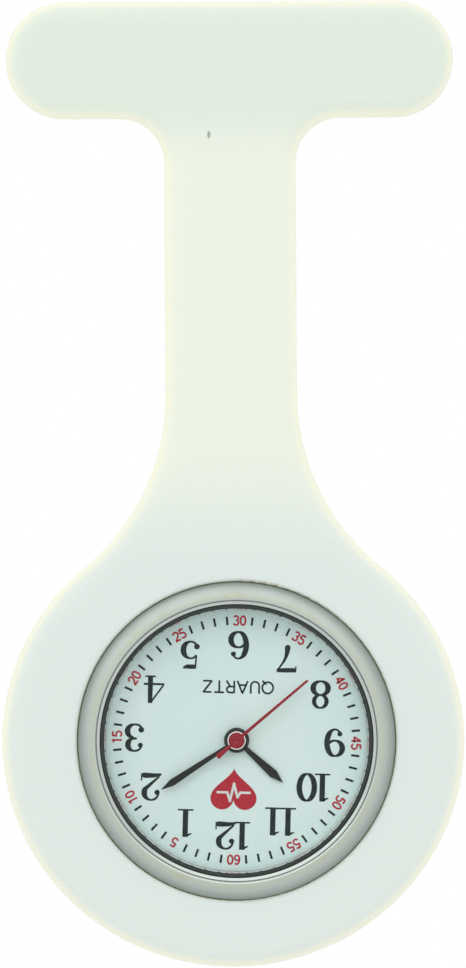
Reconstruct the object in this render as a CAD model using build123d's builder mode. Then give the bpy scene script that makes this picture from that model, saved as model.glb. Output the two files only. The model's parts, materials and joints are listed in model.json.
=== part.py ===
from build123d import *

# Silicone fob watch: a round quartz watch head in a soft T-shaped holder, hung from a brooch pin.
# Frame, in millimetres: X to the right as seen from the front, Z up, the dial faces -Y.
# The origin is the middle of the brooch pin's shank.
import os
from math import asin, atan2, cos, degrees, hypot, pi, radians, sin, sqrt

os.makedirs("parts", exist_ok=True)

# ---------------------------------------------------------------- driving dimensions
# holder outline
bar_length = 40.8
bar_height = 10.6
strap_width = 12.0
body_half_width, body_half_height = 21.06, 20.62  # the body is slightly wider than it is high
body_side_radius = 20.3
head_z = -62.08  # height of the dial's centre
shoulder_radius = 4.1  # between the bar and the strap
neck_radius = 20.3  # between the strap and the round body
holder_shift = -0.3  # the soft holder sits slightly to one side of the metal parts

# holder depths
holder_front = -7.6
holder_back = 1.0
bar_back = -3.0
strap_back = -4.4
front_round = 1.7
back_round = 1.2

# watch head
bezel_front = -8.1
case_radius = 15.2
lip_radius = 14.52  # silicone lip round the bezel
back_opening_radius = 14.4
case_shoulder = -6.5
case_rear = -0.45
cavity_radius = 13.1
crystal_radius = 12.05
crystal_seat_radius = 12.45
crystal_front = -7.85
crystal_back = -6.8
crystal_dome = 0.18
dial_window_radius = 11.65
dial_front = -4.9
dial_thickness = 0.4
dial_radius = 12.95
back_cover_radius = 14.2
back_cover_rear = 0.1

# movement
plate_radius = 10.85
plate_front = -4.45
plate_back = -3.25
bridge_front = -1.65
bridge_back = -1.25
stem_depth = -3.0
crown_travel = 1.0
clutch_shift = 0.65  # the yoke moves the clutch inwards as the crown is pulled
pivot_radius = 0.10
running = 0.03  # radial clearance of shafts in their holes

# gear train: teeth and modules
seconds_wheel_teeth, seconds_pinion_teeth = 60, 8
third_wheel_teeth, third_pinion_teeth = 60, 8
centre_wheel_teeth, cannon_teeth = 64, 12
minute_wheel_teeth, minute_pinion_teeth = 36, 10
hour_wheel_teeth = 40
fifth_wheel_teeth, fifth_pinion_teeth = 40, 10
rotor_pinion_teeth = 8
third_module = 0.09
cannon_module = 0.12
fifth_module = 0.084
rotor_module = 0.075

# time shown, in degrees clockwise from 12, and the hands' lengths
hour_angle, hour_length = 312.7, 5.75
minute_angle, minute_length = 57.2, 8.25
second_angle, second_length, second_tail = 230.2, 8.5, 2.35

# brooch pin
pin_radius = 0.40
pin_shank_half = 10.0
hinge_x = -12.8
catch_x = 12.0
base_front, base_back = -4.1, -3.4
base_length, base_height = 30.0, 5.0


# ---------------------------------------------------------------- helpers
def face_plane(depth):
    """A sketch plane parallel to the dial, centred on it, facing the front (-Y)."""
    return Plane(origin=(0, depth, head_z), x_dir=(1, 0, 0), z_dir=(0, -1, 0))


def hand_plane(depth, clock_angle):
    """The same plane, turned so that its +Y points where a hand at this clock angle points.

    12 is at the bottom of the dial, so that the wearer reads it by looking down.
    """
    turn = radians(180 - clock_angle)
    return Plane(origin=(0, depth, head_z), x_dir=(cos(turn), 0, sin(turn)), z_dir=(0, -1, 0))


section_plane = Plane(origin=(0, 0, head_z))  # x is the radius and y the depth
dial_axis = Axis((0, 0, head_z), (0, 1, 0))
stem_plane = Plane(origin=(0, stem_depth, head_z), x_dir=(1, 0, 0), z_dir=(0, 0, 1))
stem_axis = Axis((0, stem_depth, head_z), (1, 0, 0))


def disc(radius, front, back, centre=(0, 0), mode=Mode.ADD):
    """A round plate or post parallel to the dial, inside the part being built."""
    with BuildSketch(face_plane(back)) as outline:
        with Locations(centre):
            Circle(radius)
    extrude(outline.sketch, amount=back - front, mode=mode)


def turned(points, axis=dial_axis, plane=section_plane, mode=Mode.ADD):
    """A turned shape: a closed outline of (radius, depth) points, revolved."""
    with BuildSketch(plane) as outline:
        with BuildLine():
            Polyline(*points, close=True)
        make_face()
    revolve(outline.sketch, axis=axis, mode=mode)


def tooth_points(teeth, module, phase):
    """The outline of a gear with straight flanks and a tooth centred at the angle phase."""
    pitch, root, tip = module * teeth / 2, module * (teeth / 2 - 1.2), module * (teeth / 2 + 0.95)
    step = 2 * pi / teeth
    corners = [(root, -0.31), (pitch, -0.225), (tip, -0.09), (tip, 0.09), (pitch, 0.225), (root, 0.31)]
    return [
        (r * cos(phase + (i + share) * step), r * sin(phase + (i + share) * step))
        for i in range(teeth)
        for r, share in corners
    ]


def gear(teeth, module, phase, front, back, centre=(0, 0)):
    """A toothed disc parallel to the dial, inside the part being built."""
    points = [(centre[0] + x, centre[1] + y) for x, y in tooth_points(teeth, module, phase)]
    with BuildSketch(face_plane(back)) as outline:
        with BuildLine():
            Polyline(*points, close=True)
        make_face()
    extrude(outline.sketch, amount=back - front)


def windows(count, ring_radius, radius, front, back, centre=(0, 0), start=0.0):
    """Round lightening holes through a wheel."""
    with BuildSketch(face_plane(back)) as outline:
        with Locations(centre):
            with PolarLocations(ring_radius, count, start_angle=start):
                Circle(radius)
    extrude(outline.sketch, amount=back - front, mode=Mode.SUBTRACT)


def meshing_phase(teeth, direction, driver_teeth, driver_phase):
    """The phase that puts a gap of this gear where the driver's tooth is.

    direction is the angle from the driver's centre to this gear's centre.
    """
    share = (direction - driver_phase) * driver_teeth / (2 * pi)
    return direction + pi - (0.5 - share) * 2 * pi / teeth


def at(distance, angle):
    """A point in the dial's plane, from its centre."""
    return distance * cos(angle), distance * sin(angle)


# ---------------------------------------------------------------- gear train layout
third_distance = third_module * (seconds_pinion_teeth + third_wheel_teeth) / 2
centre_module = 2 * third_distance / (third_pinion_teeth + centre_wheel_teeth)
minute_distance = cannon_module * (cannon_teeth + minute_wheel_teeth) / 2
hour_module = 2 * minute_distance / (minute_pinion_teeth + hour_wheel_teeth)
fifth_distance = fifth_module * (seconds_wheel_teeth + fifth_pinion_teeth) / 2
rotor_distance = fifth_distance + rotor_module * (fifth_wheel_teeth + rotor_pinion_teeth) / 2

third_direction = radians(45)
fifth_direction = radians(-79)
minute_direction = pi  # towards the crown, at 3 o'clock
third_at = at(third_distance, third_direction)
fifth_at = at(fifth_distance, fifth_direction)
rotor_at = at(rotor_distance, fifth_direction)
minute_at = at(minute_distance, minute_direction)

third_phase = meshing_phase(third_wheel_teeth, third_direction, seconds_pinion_teeth, 0)
third_pinion_phase = meshing_phase(third_pinion_teeth, third_direction, centre_wheel_teeth, 0)
fifth_pinion_phase = meshing_phase(fifth_pinion_teeth, fifth_direction, seconds_wheel_teeth, 0)
rotor_phase = meshing_phase(rotor_pinion_teeth, fifth_direction, fifth_wheel_teeth, 0)
minute_phase = meshing_phase(minute_wheel_teeth, minute_direction, cannon_teeth, 0)
minute_pinion_phase = meshing_phase(minute_pinion_teeth, minute_direction, hour_wheel_teeth, 0)

# ---------------------------------------------------------------- other places in the movement
battery_at = (-3.5, 6.06)
battery_radius, battery_front, battery_back = 3.4, -3.75, -1.15
bridge_posts = [(-3.9, 1.2), (5.9, 0.6), (-3.2, -2.4)]
coil_row = -7.4  # height of the coil, below the centre
stator_row = rotor_at[1]
coil_screws = [(-4.9, stator_row), (6.1, stator_row)]
board_inner, board_outer = 8.4, 10.4
board_half_angle = 34
board_posts = [at(9.4, radians(-26)), at(9.4, radians(26))]
clamp_posts = [(-7.65, 4.95), (0.75, 7.6)]
quartz_at = at(8.95, radians(62))
dial_feet = [at(10.0, radians(100)), at(10.0, radians(-80))]
post_radius, screw_radius = 0.8, 0.35

# the setting lever's finger stands in the stem's groove, and swings as the crown is pulled
finger_x = -9.2
lever_pivot = (finger_x - crown_travel / 2, 2.7)
finger_v = 0.55
lever_arm = hypot(crown_travel / 2, lever_pivot[1] - finger_v)
lever_swing = 2 * asin(crown_travel / 2 / lever_arm)

# ---------------------------------------------------------------- silicone holder
bar_end = bar_height / 2
bar_straight = bar_length / 2 - bar_end
strap_half = strap_width / 2
# the body's oval: a side arc centred side_shift out, and a longer end arc centred end_shift beyond the middle
side_shift = body_half_width - body_side_radius
end_extra = body_half_height - body_side_radius
end_shift = (side_shift**2 - end_extra**2) / (2 * end_extra)
body_end_radius = body_half_height + end_shift
oval_turn = degrees(atan2(end_shift, side_shift))
neck_reach = body_end_radius + neck_radius
neck_x = strap_half + neck_radius
neck_z = head_z - end_shift + sqrt(neck_reach**2 - neck_x**2)
neck_turn = degrees(atan2(neck_z - head_z + end_shift, neck_x))

ramp_end = -44.6  # where the back reaches the body's full depth
ramp_length = 8.0
step_start, step_length = -6.0, 3.0


def s_curve(start, end):
    """Two equal arcs, level at both ends, as the lines of a back profile of (depth, height) points."""
    middle = ((start[0] + end[0]) / 2, (start[1] + end[1]) / 2)
    first = TangentArc(start, middle, tangent=(0, -1))
    return TangentArc(middle, end, tangent=first % 1)


with BuildPart() as silicone_holder:
    with BuildSketch(Plane((holder_shift, holder_back, 0), x_dir=(1, 0, 0), z_dir=(0, -1, 0))):
        with BuildLine():
            Line((0, bar_end), (bar_straight, bar_end))
            CenterArc((bar_straight, 0), bar_end, 90, -180)
            Line((bar_straight, -bar_end), (strap_half + shoulder_radius, -bar_end))
            shoulder_centre = (strap_half + shoulder_radius, -bar_end - shoulder_radius)
            CenterArc(shoulder_centre, shoulder_radius, 90, 90)
            Line((strap_half, shoulder_centre[1]), (strap_half, neck_z))
            CenterArc((neck_x, neck_z), neck_radius, 180, neck_turn)
            CenterArc((0, head_z - end_shift), body_end_radius, neck_turn, oval_turn - neck_turn)
            CenterArc((side_shift, head_z), body_side_radius, oval_turn, -2 * oval_turn)
            CenterArc((0, head_z + end_shift), body_end_radius, -oval_turn, oval_turn - 90)
            mirror(about=Plane.YZ)
        make_face()
    extrude(amount=holder_back - holder_front)

    # the bar and the strap are thinner than the body: their back is cut to a smooth profile
    with BuildSketch(Plane.YZ):
        with BuildLine():
            outside = holder_back + 1
            Line((outside, bar_height), (bar_back, bar_height))
            Line((bar_back, bar_height), (bar_back, step_start))
            s_curve((bar_back, step_start), (strap_back, step_start - step_length))
            Line((strap_back, step_start - step_length), (strap_back, ramp_end + ramp_length))
            s_curve((strap_back, ramp_end + ramp_length), (holder_back, ramp_end))
            Line((holder_back, ramp_end), (outside, ramp_end))
            Line((outside, ramp_end), (outside, bar_height))
        make_face()
    extrude(amount=body_half_width + 1, both=True, mode=Mode.SUBTRACT)

    fillet(silicone_holder.faces().sort_by(Axis.Y)[0].edges(), radius=front_round)
    back_skin = silicone_holder.faces().filter_by(lambda f: f.normal_at(f.center()).Y > 0.05)
    skin_edges = [edge for face in back_skin for edge in face.edges()]
    rim = [e for e in skin_edges if sum(e.is_same(other) for other in skin_edges) == 1]
    fillet([e for e in rim if e.center().Y > strap_back - 0.5], radius=back_round)

    # pocket for the watch head, with a lip in front and behind
    disc(lip_radius, holder_front - 1, case_shoulder, mode=Mode.SUBTRACT)
    disc(case_radius + 0.05, case_shoulder - 0.05, case_rear + 0.05, mode=Mode.SUBTRACT)
    disc(back_opening_radius, case_rear, holder_back + 1, mode=Mode.SUBTRACT)
    lip_edges = silicone_holder.edges().filter_by(GeomType.CIRCLE).filter_by(
        lambda e: abs(e.radius - lip_radius) < 0.01 or abs(e.radius - back_opening_radius) < 0.01
    )
    fillet([lip_edges.sort_by(Axis.Y)[0], lip_edges.sort_by(Axis.Y)[-1]], radius=0.35)

    # recess for the crown, long enough for its pull
    with BuildSketch(Plane(origin=(-case_radius + 0.4, stem_depth, head_z), z_dir=(-1, 0, 0))):
        Circle(1.75)
    extrude(amount=3.4, mode=Mode.SUBTRACT)

    # pocket for the brooch base, and the window behind it
    with BuildSketch(Plane.XZ.offset(-base_back)):
        RectangleRounded(base_length, base_height, 1.0)
    extrude(amount=base_back - base_front, mode=Mode.SUBTRACT)
    with BuildSketch(Plane.XZ.offset(-bar_back)):
        RectangleRounded(base_length - 1.4, base_height - 1.4, 0.6)
    extrude(amount=bar_back - base_back, mode=Mode.SUBTRACT)

# ---------------------------------------------------------------- brooch pin
ear_inner, ear_thickness, ear_radius = 0.72, 0.4, 1.0
rivet_radius = 0.35
sleeve_inner, sleeve_outer = 1.02, 1.42
sleeve_start, sleeve_end = catch_x - 0.6, catch_x + 0.6

with BuildPart() as brooch_base:
    with BuildSketch(Plane.XZ.offset(-base_back)):
        RectangleRounded(base_length, base_height, 1.0)
    extrude(amount=base_back - base_front)
    # two hinge ears
    for side in (-1, 1):
        ear_face = ear_inner + ear_thickness if side > 0 else -ear_inner
        with BuildSketch(Plane.XY.offset(ear_face)):
            with Locations((hinge_x, 0)):
                Circle(ear_radius)
            with Locations((hinge_x, base_back / 2)):
                Rectangle(2 * ear_radius, -base_back)
            with Locations((hinge_x, 0)):
                Circle(rivet_radius, mode=Mode.SUBTRACT)
        extrude(amount=-ear_thickness)
    # open catch sleeve on a foot
    with BuildSketch(Plane.YZ.offset(sleeve_start)):
        with Locations((base_back / 2, 0)):
            Rectangle(-base_back, 1.2)
        Circle(sleeve_outer)
        Circle(sleeve_inner, mode=Mode.SUBTRACT)
        with Locations((sleeve_outer / 2 + 0.3, 0)):
            Rectangle(sleeve_outer + 0.6, 1.3, mode=Mode.SUBTRACT)
    extrude(amount=sleeve_end - sleeve_start)

with BuildPart() as hinge_rivet:
    ear_reach = ear_inner + ear_thickness
    with Locations((hinge_x, 0, 0)):
        Cylinder(rivet_radius, 2 * ear_reach)
    for side in (-1, 1):
        with Locations((hinge_x, 0, side * (ear_reach + 0.125))):
            Cylinder(0.62, 0.25)
    fillet(hinge_rivet.edges().group_by(Axis.Z)[0] + hinge_rivet.edges().group_by(Axis.Z)[-1], radius=0.15)

eye_radius, eye_half = 0.9, 0.62
taper_end, tip_end = 14.0, 15.2

with BuildPart() as pin_stem:
    with BuildSketch(Plane.XY):
        with BuildLine():
            Polyline(
                (hinge_x + 0.5, 0),
                (hinge_x + 0.5, 0.55),
                (-pin_shank_half - 0.6, 0.55),
                (-pin_shank_half, pin_radius),
                (pin_shank_half, pin_radius),
                (taper_end, 0.27),
                (tip_end, 0.04),
                (tip_end, 0),
                close=True,
            )
        make_face()
    revolve(axis=Axis.X)
    with Locations((hinge_x, 0, 0)):
        Cylinder(eye_radius, 2 * eye_half)
        Cylinder(rivet_radius + running, 2 * eye_half, mode=Mode.SUBTRACT)

roller_inner, roller_outer = 0.55, 0.97
roller_start, roller_end = sleeve_start - 0.35, sleeve_end + 0.9
tab_start = sleeve_end + 0.08

with BuildPart() as catch_roller:
    for radius, start, end in [
        (roller_outer, roller_start, roller_end),
        (1.3, roller_start, sleeve_start - 0.05),
        (1.3, tab_start, roller_end),
    ]:
        with BuildSketch(Plane.YZ.offset(start)):
            Circle(radius)
        extrude(amount=end - start)
    # thumb tab
    with BuildSketch(Plane.YZ.offset(tab_start)):
        with Locations((0, -1.5)):
            RectangleRounded(0.9, 1.6, 0.25)
    extrude(amount=roller_end - tab_start)
    # bore and slot for the pin
    with BuildSketch(Plane.YZ.offset(roller_start)):
        Circle(roller_inner)
        with Locations((1, 0)):
            Rectangle(2, 2 * roller_inner)
    extrude(amount=roller_end - roller_start, mode=Mode.SUBTRACT)

# ---------------------------------------------------------------- case
ledge_radius = 11.95
ledge_back = -6.55
tube_radius, tube_bore = 0.85, 0.5
tube_start, tube_end = -12.95, -16.0
crest_radius = 12.95
shoulder_radius_case = 14.48

with BuildPart() as case_body:
    with BuildSketch(section_plane):
        with BuildLine():
            start = (crest_radius - 0.12, bezel_front)
            Line(start, (crest_radius, bezel_front))
            crown_line = Spline(
                (crest_radius, bezel_front),
                (13.95, bezel_front + 0.28),
                (shoulder_radius_case, -7.25),
                tangents=[(1, 0.05), (0.12, 1)],
            )
            Polyline(
                (shoulder_radius_case, -7.25),
                (shoulder_radius_case, case_shoulder),
                (case_radius - 0.2, case_shoulder),
                (case_radius, case_shoulder + 0.2),
                (case_radius, case_rear - 0.2),
                (case_radius - 0.2, case_rear),
                (13.8, case_rear),
                (13.8, case_rear - 0.4),
                (13.3, case_rear - 0.4),
                (13.3, case_rear),
                (cavity_radius, case_rear),
                (cavity_radius, ledge_back),
                (ledge_radius, ledge_back),
                (ledge_radius, crystal_back),
                (crystal_seat_radius, crystal_back),
                (crystal_seat_radius, -7.62),
                (crystal_seat_radius + 0.1, -7.74),
                start,
            )
        make_face()
    revolve(axis=dial_axis)
    with BuildSketch(Plane(origin=(tube_start, stem_depth, head_z), z_dir=(-1, 0, 0))):
        Circle(tube_radius)
    extrude(amount=3, mode=Mode.SUBTRACT)

with BuildPart() as crown_tube:
    with BuildSketch(Plane(origin=(tube_start, stem_depth, head_z), z_dir=(-1, 0, 0))):
        Circle(tube_radius)
        Circle(tube_bore, mode=Mode.SUBTRACT)
    extrude(amount=tube_start - tube_end)

dome_reach = crystal_radius - 0.15
dome_radius = (dome_reach**2 + crystal_dome**2) / (2 * crystal_dome)
dome_centre = crystal_front - crystal_dome + dome_radius

with BuildPart() as crystal:
    with BuildSketch(section_plane):
        with BuildLine():
            Line((0, crystal_back), (crystal_radius, crystal_back))
            Line((crystal_radius, crystal_back), (crystal_radius, crystal_front + 0.15))
            Line((crystal_radius, crystal_front + 0.15), (crystal_radius - 0.15, crystal_front))
            ThreePointArc(
                (dome_reach, crystal_front),
                (dome_reach / 2, dome_centre - sqrt(dome_radius**2 - dome_reach**2 / 4)),
                (0, crystal_front - crystal_dome),
            )
            Line((0, crystal_front - crystal_dome), (0, crystal_back))
        make_face()
    revolve(axis=dial_axis)

with BuildPart() as crystal_gasket:
    turned(
        [
            (crystal_radius, crystal_back),
            (crystal_seat_radius, crystal_back),
            (crystal_seat_radius, crystal_front + 0.27),
            (crystal_seat_radius - 0.08, crystal_front + 0.2),
            (crystal_radius, crystal_front + 0.2),
        ]
    )

with BuildPart() as dial_ring:
    turned(
        [
            (dial_window_radius, dial_front - 0.02),
            (cavity_radius - 0.05, dial_front - 0.02),
            (cavity_radius - 0.05, ledge_back + 0.02),
            (ledge_radius, ledge_back + 0.02),
            (ledge_radius - 0.03, ledge_back + 0.12),
            (dial_window_radius, dial_front - 0.25),
        ]
    )

with BuildPart() as dial:
    disc(dial_radius, dial_front, dial_front + dial_thickness)
    for foot in dial_feet:
        disc(0.35, dial_front + dial_thickness, dial_front + 1.3, foot)
    disc(0.95, dial_front, dial_front + dial_thickness, mode=Mode.SUBTRACT)

with BuildPart() as back_cover:
    turned(
        [
            (0, back_cover_rear),
            (9.6, back_cover_rear),
            (9.75, back_cover_rear - 0.08),
            (11.3, back_cover_rear - 0.08),
            (11.45, back_cover_rear),
            (back_cover_radius - 0.25, back_cover_rear),
            (back_cover_radius, back_cover_rear - 0.2),
            (back_cover_radius, case_rear + 0.03),
            (12.95, case_rear + 0.03),
            (12.95, case_rear - 0.75),
            (12.6, case_rear - 0.75),
            (12.6, case_rear + 0.03),
            (0, case_rear + 0.03),
        ]
    )
    # notch to pry it off
    with BuildSketch(face_plane(back_cover_rear)):
        with Locations(at(back_cover_radius + 0.35, radians(-55))):
            Circle(1.0)
    extrude(amount=0.32, mode=Mode.SUBTRACT)

with BuildPart() as back_gasket:
    turned([(13.33, case_rear - 0.38), (13.77, case_rear - 0.38), (13.77, case_rear), (13.33, case_rear)])

# ---------------------------------------------------------------- movement ring and plate
ring_front, ring_back = dial_front + dial_thickness, -1.35

with BuildPart() as movement_ring:
    disc(cavity_radius - 0.05, ring_front, ring_back)
    disc(plate_radius + 0.02, ring_front, ring_back, mode=Mode.SUBTRACT)
    with Locations((-plate_radius - 1, stem_depth + 1, head_z)):
        Box(4, 3.8, 1.8, mode=Mode.SUBTRACT)
    windows(6, 12.0, 0.7, ring_front, ring_back, start=30)

recess_back = -3.75
clutch_start, clutch_end = -5.9, -7.1

with BuildPart() as main_plate:
    disc(plate_radius, plate_front, plate_back)
    for post in bridge_posts:
        disc(post_radius, plate_back, bridge_front, post)
    for post in coil_screws:
        disc(post_radius, plate_back, -2.4, post)
    for post in board_posts:
        disc(post_radius, plate_back, -1.55, post)
    for post in clamp_posts:
        disc(post_radius, plate_back, -1.1, post)
    disc(0.35, plate_back, -2.2, lever_pivot)
    # recess for the motion work, and the post of the minute wheel
    with BuildSketch(face_plane(recess_back)):
        Circle(2.65)
        with Locations(minute_at):
            Circle(2.5)
            Circle(0.2, mode=Mode.SUBTRACT)
    extrude(amount=recess_back - plate_front, mode=Mode.SUBTRACT)
    # stem channel, clutch pocket and battery seat
    with Locations((-9.3, stem_depth, head_z + 0.15)):
        Box(4.0, 1.0, 1.35, mode=Mode.SUBTRACT)
    with Locations((-6.35, stem_depth, head_z)):
        Box(2.9, 1.9, 2.0, mode=Mode.SUBTRACT)
    disc(battery_radius + 0.08, battery_front - 0.03, plate_back, battery_at, mode=Mode.SUBTRACT)
    # holes: centre pipe, pivots, dial feet and screws
    disc(0.40 + running, plate_front, plate_back, mode=Mode.SUBTRACT)
    for pivot in (third_at, fifth_at, rotor_at):
        disc(pivot_radius + 0.02, plate_back - 0.35, plate_back, pivot, mode=Mode.SUBTRACT)
    for foot in dial_feet:
        disc(0.37, plate_front, plate_back, foot, mode=Mode.SUBTRACT)
    for post in bridge_posts + coil_screws + board_posts + clamp_posts:
        disc(screw_radius, plate_back, -1.1, post, mode=Mode.SUBTRACT)

with BuildPart() as train_bridge:
    with BuildSketch(face_plane(bridge_back)):
        for centre, radius in [
            ((0, 0), 1.6),
            (third_at, 0.9),
            (rotor_at, 1.2),
            *[(post, 1.15) for post in bridge_posts],
        ]:
            with Locations(centre):
                Circle(radius)
        make_hull()
        with Locations(*bridge_posts):
            Circle(screw_radius, mode=Mode.SUBTRACT)
        with Locations((0, 0), third_at, fifth_at, rotor_at):
            Circle(pivot_radius + 0.02, mode=Mode.SUBTRACT)
    extrude(amount=bridge_back - bridge_front)

# ---------------------------------------------------------------- stepping motor and electronics
core_front, core_back = -2.0, -1.6
core_left, core_right, arm_width = -5.6, 6.8, 1.4
coil_radius = 0.8

with BuildPart() as stator:
    with BuildSketch(face_plane(core_front)):
        with Locations(((core_left + core_right) / 2, stator_row)):
            RectangleRounded(core_right - core_left, 2.0, 0.5)
        with Locations(rotor_at):
            Circle(0.8, mode=Mode.SUBTRACT)
        with Locations(*coil_screws):
            Circle(screw_radius + 0.02, mode=Mode.SUBTRACT)
    extrude(amount=0.4)

with BuildPart() as coil_core:
    with BuildSketch(face_plane(core_back)):
        with Locations(((core_left + core_right) / 2, coil_row)):
            Rectangle(core_right - core_left, 1.0)
        for x in (core_left + arm_width / 2, core_right - arm_width / 2):
            with Locations((x, (coil_row + stator_row) / 2 + 0.1)):
                Rectangle(arm_width, stator_row - coil_row + 1.2)
        with Locations(*coil_screws):
            Circle(screw_radius + 0.02, mode=Mode.SUBTRACT)
    extrude(amount=core_back - core_front)

with BuildPart() as coil_winding:
    coil_start, coil_length = core_left + arm_width + 0.3, core_right - core_left - 2 * arm_width - 0.6
    coil_origin = (coil_start, (core_front + core_back) / 2, head_z + coil_row)
    with BuildSketch(Plane(origin=coil_origin, x_dir=(0, 1, 0), z_dir=(1, 0, 0))):
        Circle(coil_radius)
        Rectangle(core_back - core_front, 1.0, mode=Mode.SUBTRACT)
    extrude(amount=coil_length)

with BuildPart() as circuit_board:
    with BuildSketch(face_plane(-1.3)):
        with BuildLine():
            CenterArc((0, 0), board_outer, -board_half_angle, 2 * board_half_angle)
            CenterArc((0, 0), board_inner, -board_half_angle, 2 * board_half_angle)
            for angle in (-board_half_angle, board_half_angle):
                Line(at(board_inner, radians(angle)), at(board_outer, radians(angle)))
        make_face()
        with Locations(*board_posts):
            Circle(screw_radius + 0.02, mode=Mode.SUBTRACT)
    extrude(amount=0.25)

with BuildPart() as circuit_chip:
    disc(0.9, -1.3, -0.95, (9.4, 0))
    fillet(circuit_chip.edges().group_by(Axis.Y)[-1], radius=0.3)

with BuildPart() as quartz_can:
    can_direction = (-sin(radians(62)), 0, cos(radians(62)))
    can_origin = (quartz_at[0] + 2.5 * sin(radians(62)), -2.4, head_z + quartz_at[1] - 2.5 * cos(radians(62)))
    can_plane = Plane(origin=can_origin, z_dir=can_direction)
    with BuildSketch(can_plane):
        Circle(0.75)
    extrude(amount=5.0)
    fillet(quartz_can.edges().filter_by(GeomType.CIRCLE), radius=0.15)
    with BuildSketch(can_plane):
        with GridLocations(0.6, 0, 2, 1):
            Circle(0.12)
    extrude(amount=-0.5)

with BuildPart() as battery:
    disc(battery_radius, battery_front + 0.45, battery_back, battery_at)
    disc(battery_radius - 0.45, battery_front, battery_front + 0.45, battery_at)
    fillet(battery.edges().group_by(Axis.Y)[-1], radius=0.25)

with BuildPart() as battery_clamp:
    with BuildSketch(face_plane(-0.9)):
        for start, end in (clamp_posts, [battery_at, (battery_at[0] + 1.6, battery_at[1] - 2.2)]):
            middle = ((start[0] + end[0]) / 2, (start[1] + end[1]) / 2)
            tilt = degrees(atan2(end[1] - start[1], end[0] - start[0]))
            with Locations(Location((*middle, 0), (0, 0, tilt))):
                SlotCenterToCenter(hypot(end[0] - start[0], end[1] - start[1]), 1.6)
        with Locations(*clamp_posts):
            Circle(screw_radius + 0.02, mode=Mode.SUBTRACT)
    extrude(amount=0.2)

with BuildPart() as movement_screws:
    # (place, underside of the head): identical screws in a group
    screw_seats = [
        *[(post, bridge_back) for post in bridge_posts],
        *[(post, core_back) for post in coil_screws],
        *[(post, -1.3) for post in board_posts],
        *[(post, -0.9) for post in clamp_posts],
    ]
    for place, seat in screw_seats:
        disc(0.7, seat, seat + 0.3, place)
        disc(screw_radius - 0.01, seat - 1.3, seat, place)
        with BuildSketch(face_plane(seat + 0.3)):
            with Locations(place):
                Rectangle(1.6, 0.18)
        extrude(amount=0.15, mode=Mode.SUBTRACT)

# ---------------------------------------------------------------- wheels of the train
seconds_wheel_front, seconds_wheel_back = -1.95, -1.80
third_wheel_front, third_wheel_back = -2.20, -2.02
centre_wheel_front, centre_wheel_back = -3.17, -2.97
fifth_wheel_front, fifth_wheel_back = -2.75, -2.60
arbor_radius = 0.15
pipe_radius, pipe_bore = 0.40, 0.24
seconds_arbor = 0.20

with BuildPart() as seconds_wheel:
    gear(seconds_wheel_teeth, fifth_module, 0, seconds_wheel_front, seconds_wheel_back)
    windows(5, 1.45, 0.5, seconds_wheel_front, seconds_wheel_back)
    gear(seconds_pinion_teeth, third_module, 0, -2.32, seconds_wheel_front)
    disc(seconds_arbor, -6.20, -1.70)
    disc(pivot_radius, -1.70, -1.30)

with BuildPart() as third_wheel:
    gear(third_wheel_teeth, third_module, third_phase, third_wheel_front, third_wheel_back, third_at)
    windows(5, 1.6, 0.6, third_wheel_front, third_wheel_back, third_at)
    gear(third_pinion_teeth, centre_module, third_pinion_phase, -3.22, -2.88, third_at)
    disc(arbor_radius, -2.88, -1.70, third_at)
    disc(pivot_radius, -3.55, -3.22, third_at)
    disc(pivot_radius, -1.70, -1.30, third_at)

with BuildPart() as centre_wheel:
    gear(centre_wheel_teeth, centre_module, 0, centre_wheel_front, centre_wheel_back)
    windows(5, 1.7, 0.6, centre_wheel_front, centre_wheel_back)
    disc(0.55, centre_wheel_back, -2.75)
    disc(pipe_radius, -5.80, -2.75)
    disc(pipe_bore, -5.80, -2.75, mode=Mode.SUBTRACT)

with BuildPart() as fifth_wheel:
    gear(fifth_wheel_teeth, rotor_module, 0, fifth_wheel_front, fifth_wheel_back, fifth_at)
    windows(4, 0.9, 0.35, fifth_wheel_front, fifth_wheel_back, fifth_at)
    gear(fifth_pinion_teeth, fifth_module, fifth_pinion_phase, -2.0, -1.75, fifth_at)
    disc(arbor_radius, -2.92, -1.70, fifth_at)
    disc(pivot_radius, -3.55, -2.92, fifth_at)  # long and thin, past the centre wheel's teeth
    disc(pivot_radius, -1.70, -1.30, fifth_at)

with BuildPart() as rotor:
    disc(0.60, -2.42, -1.98, rotor_at)
    gear(rotor_pinion_teeth, rotor_module, rotor_phase, -2.80, -2.55, rotor_at)
    disc(arbor_radius, -3.22, -1.70, rotor_at)
    disc(pivot_radius, -3.55, -3.22, rotor_at)
    disc(pivot_radius, -1.70, -1.30, rotor_at)

# ---------------------------------------------------------------- motion work, on the dial side
cannon_pipe_radius = 0.57
hour_pipe_radius = 0.80
hour_wheel_front, hour_wheel_back = -4.34, -4.14
minute_wheel_front, minute_wheel_back = -4.03, -3.85

with BuildPart() as cannon_pinion:
    gear(cannon_teeth, cannon_module, 0, -4.10, -3.80)
    disc(cannon_pipe_radius, -5.85, -4.10)
    disc(pipe_radius, -5.85, -3.80, mode=Mode.SUBTRACT)

with BuildPart() as minute_wheel:
    gear(minute_wheel_teeth, cannon_module, minute_phase, minute_wheel_front, minute_wheel_back, minute_at)
    gear(minute_pinion_teeth, hour_module, minute_pinion_phase, -4.38, minute_wheel_front, minute_at)
    windows(5, 1.35, 0.45, minute_wheel_front, minute_wheel_back, minute_at)
    disc(0.2 + running, -4.5, -3.7, minute_at, mode=Mode.SUBTRACT)

with BuildPart() as hour_wheel:
    gear(hour_wheel_teeth, hour_module, 0, hour_wheel_front, hour_wheel_back)
    disc(hour_pipe_radius, -5.40, hour_wheel_front)
    disc(cannon_pipe_radius + 0.05, -5.40, hour_wheel_back, mode=Mode.SUBTRACT)

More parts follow.
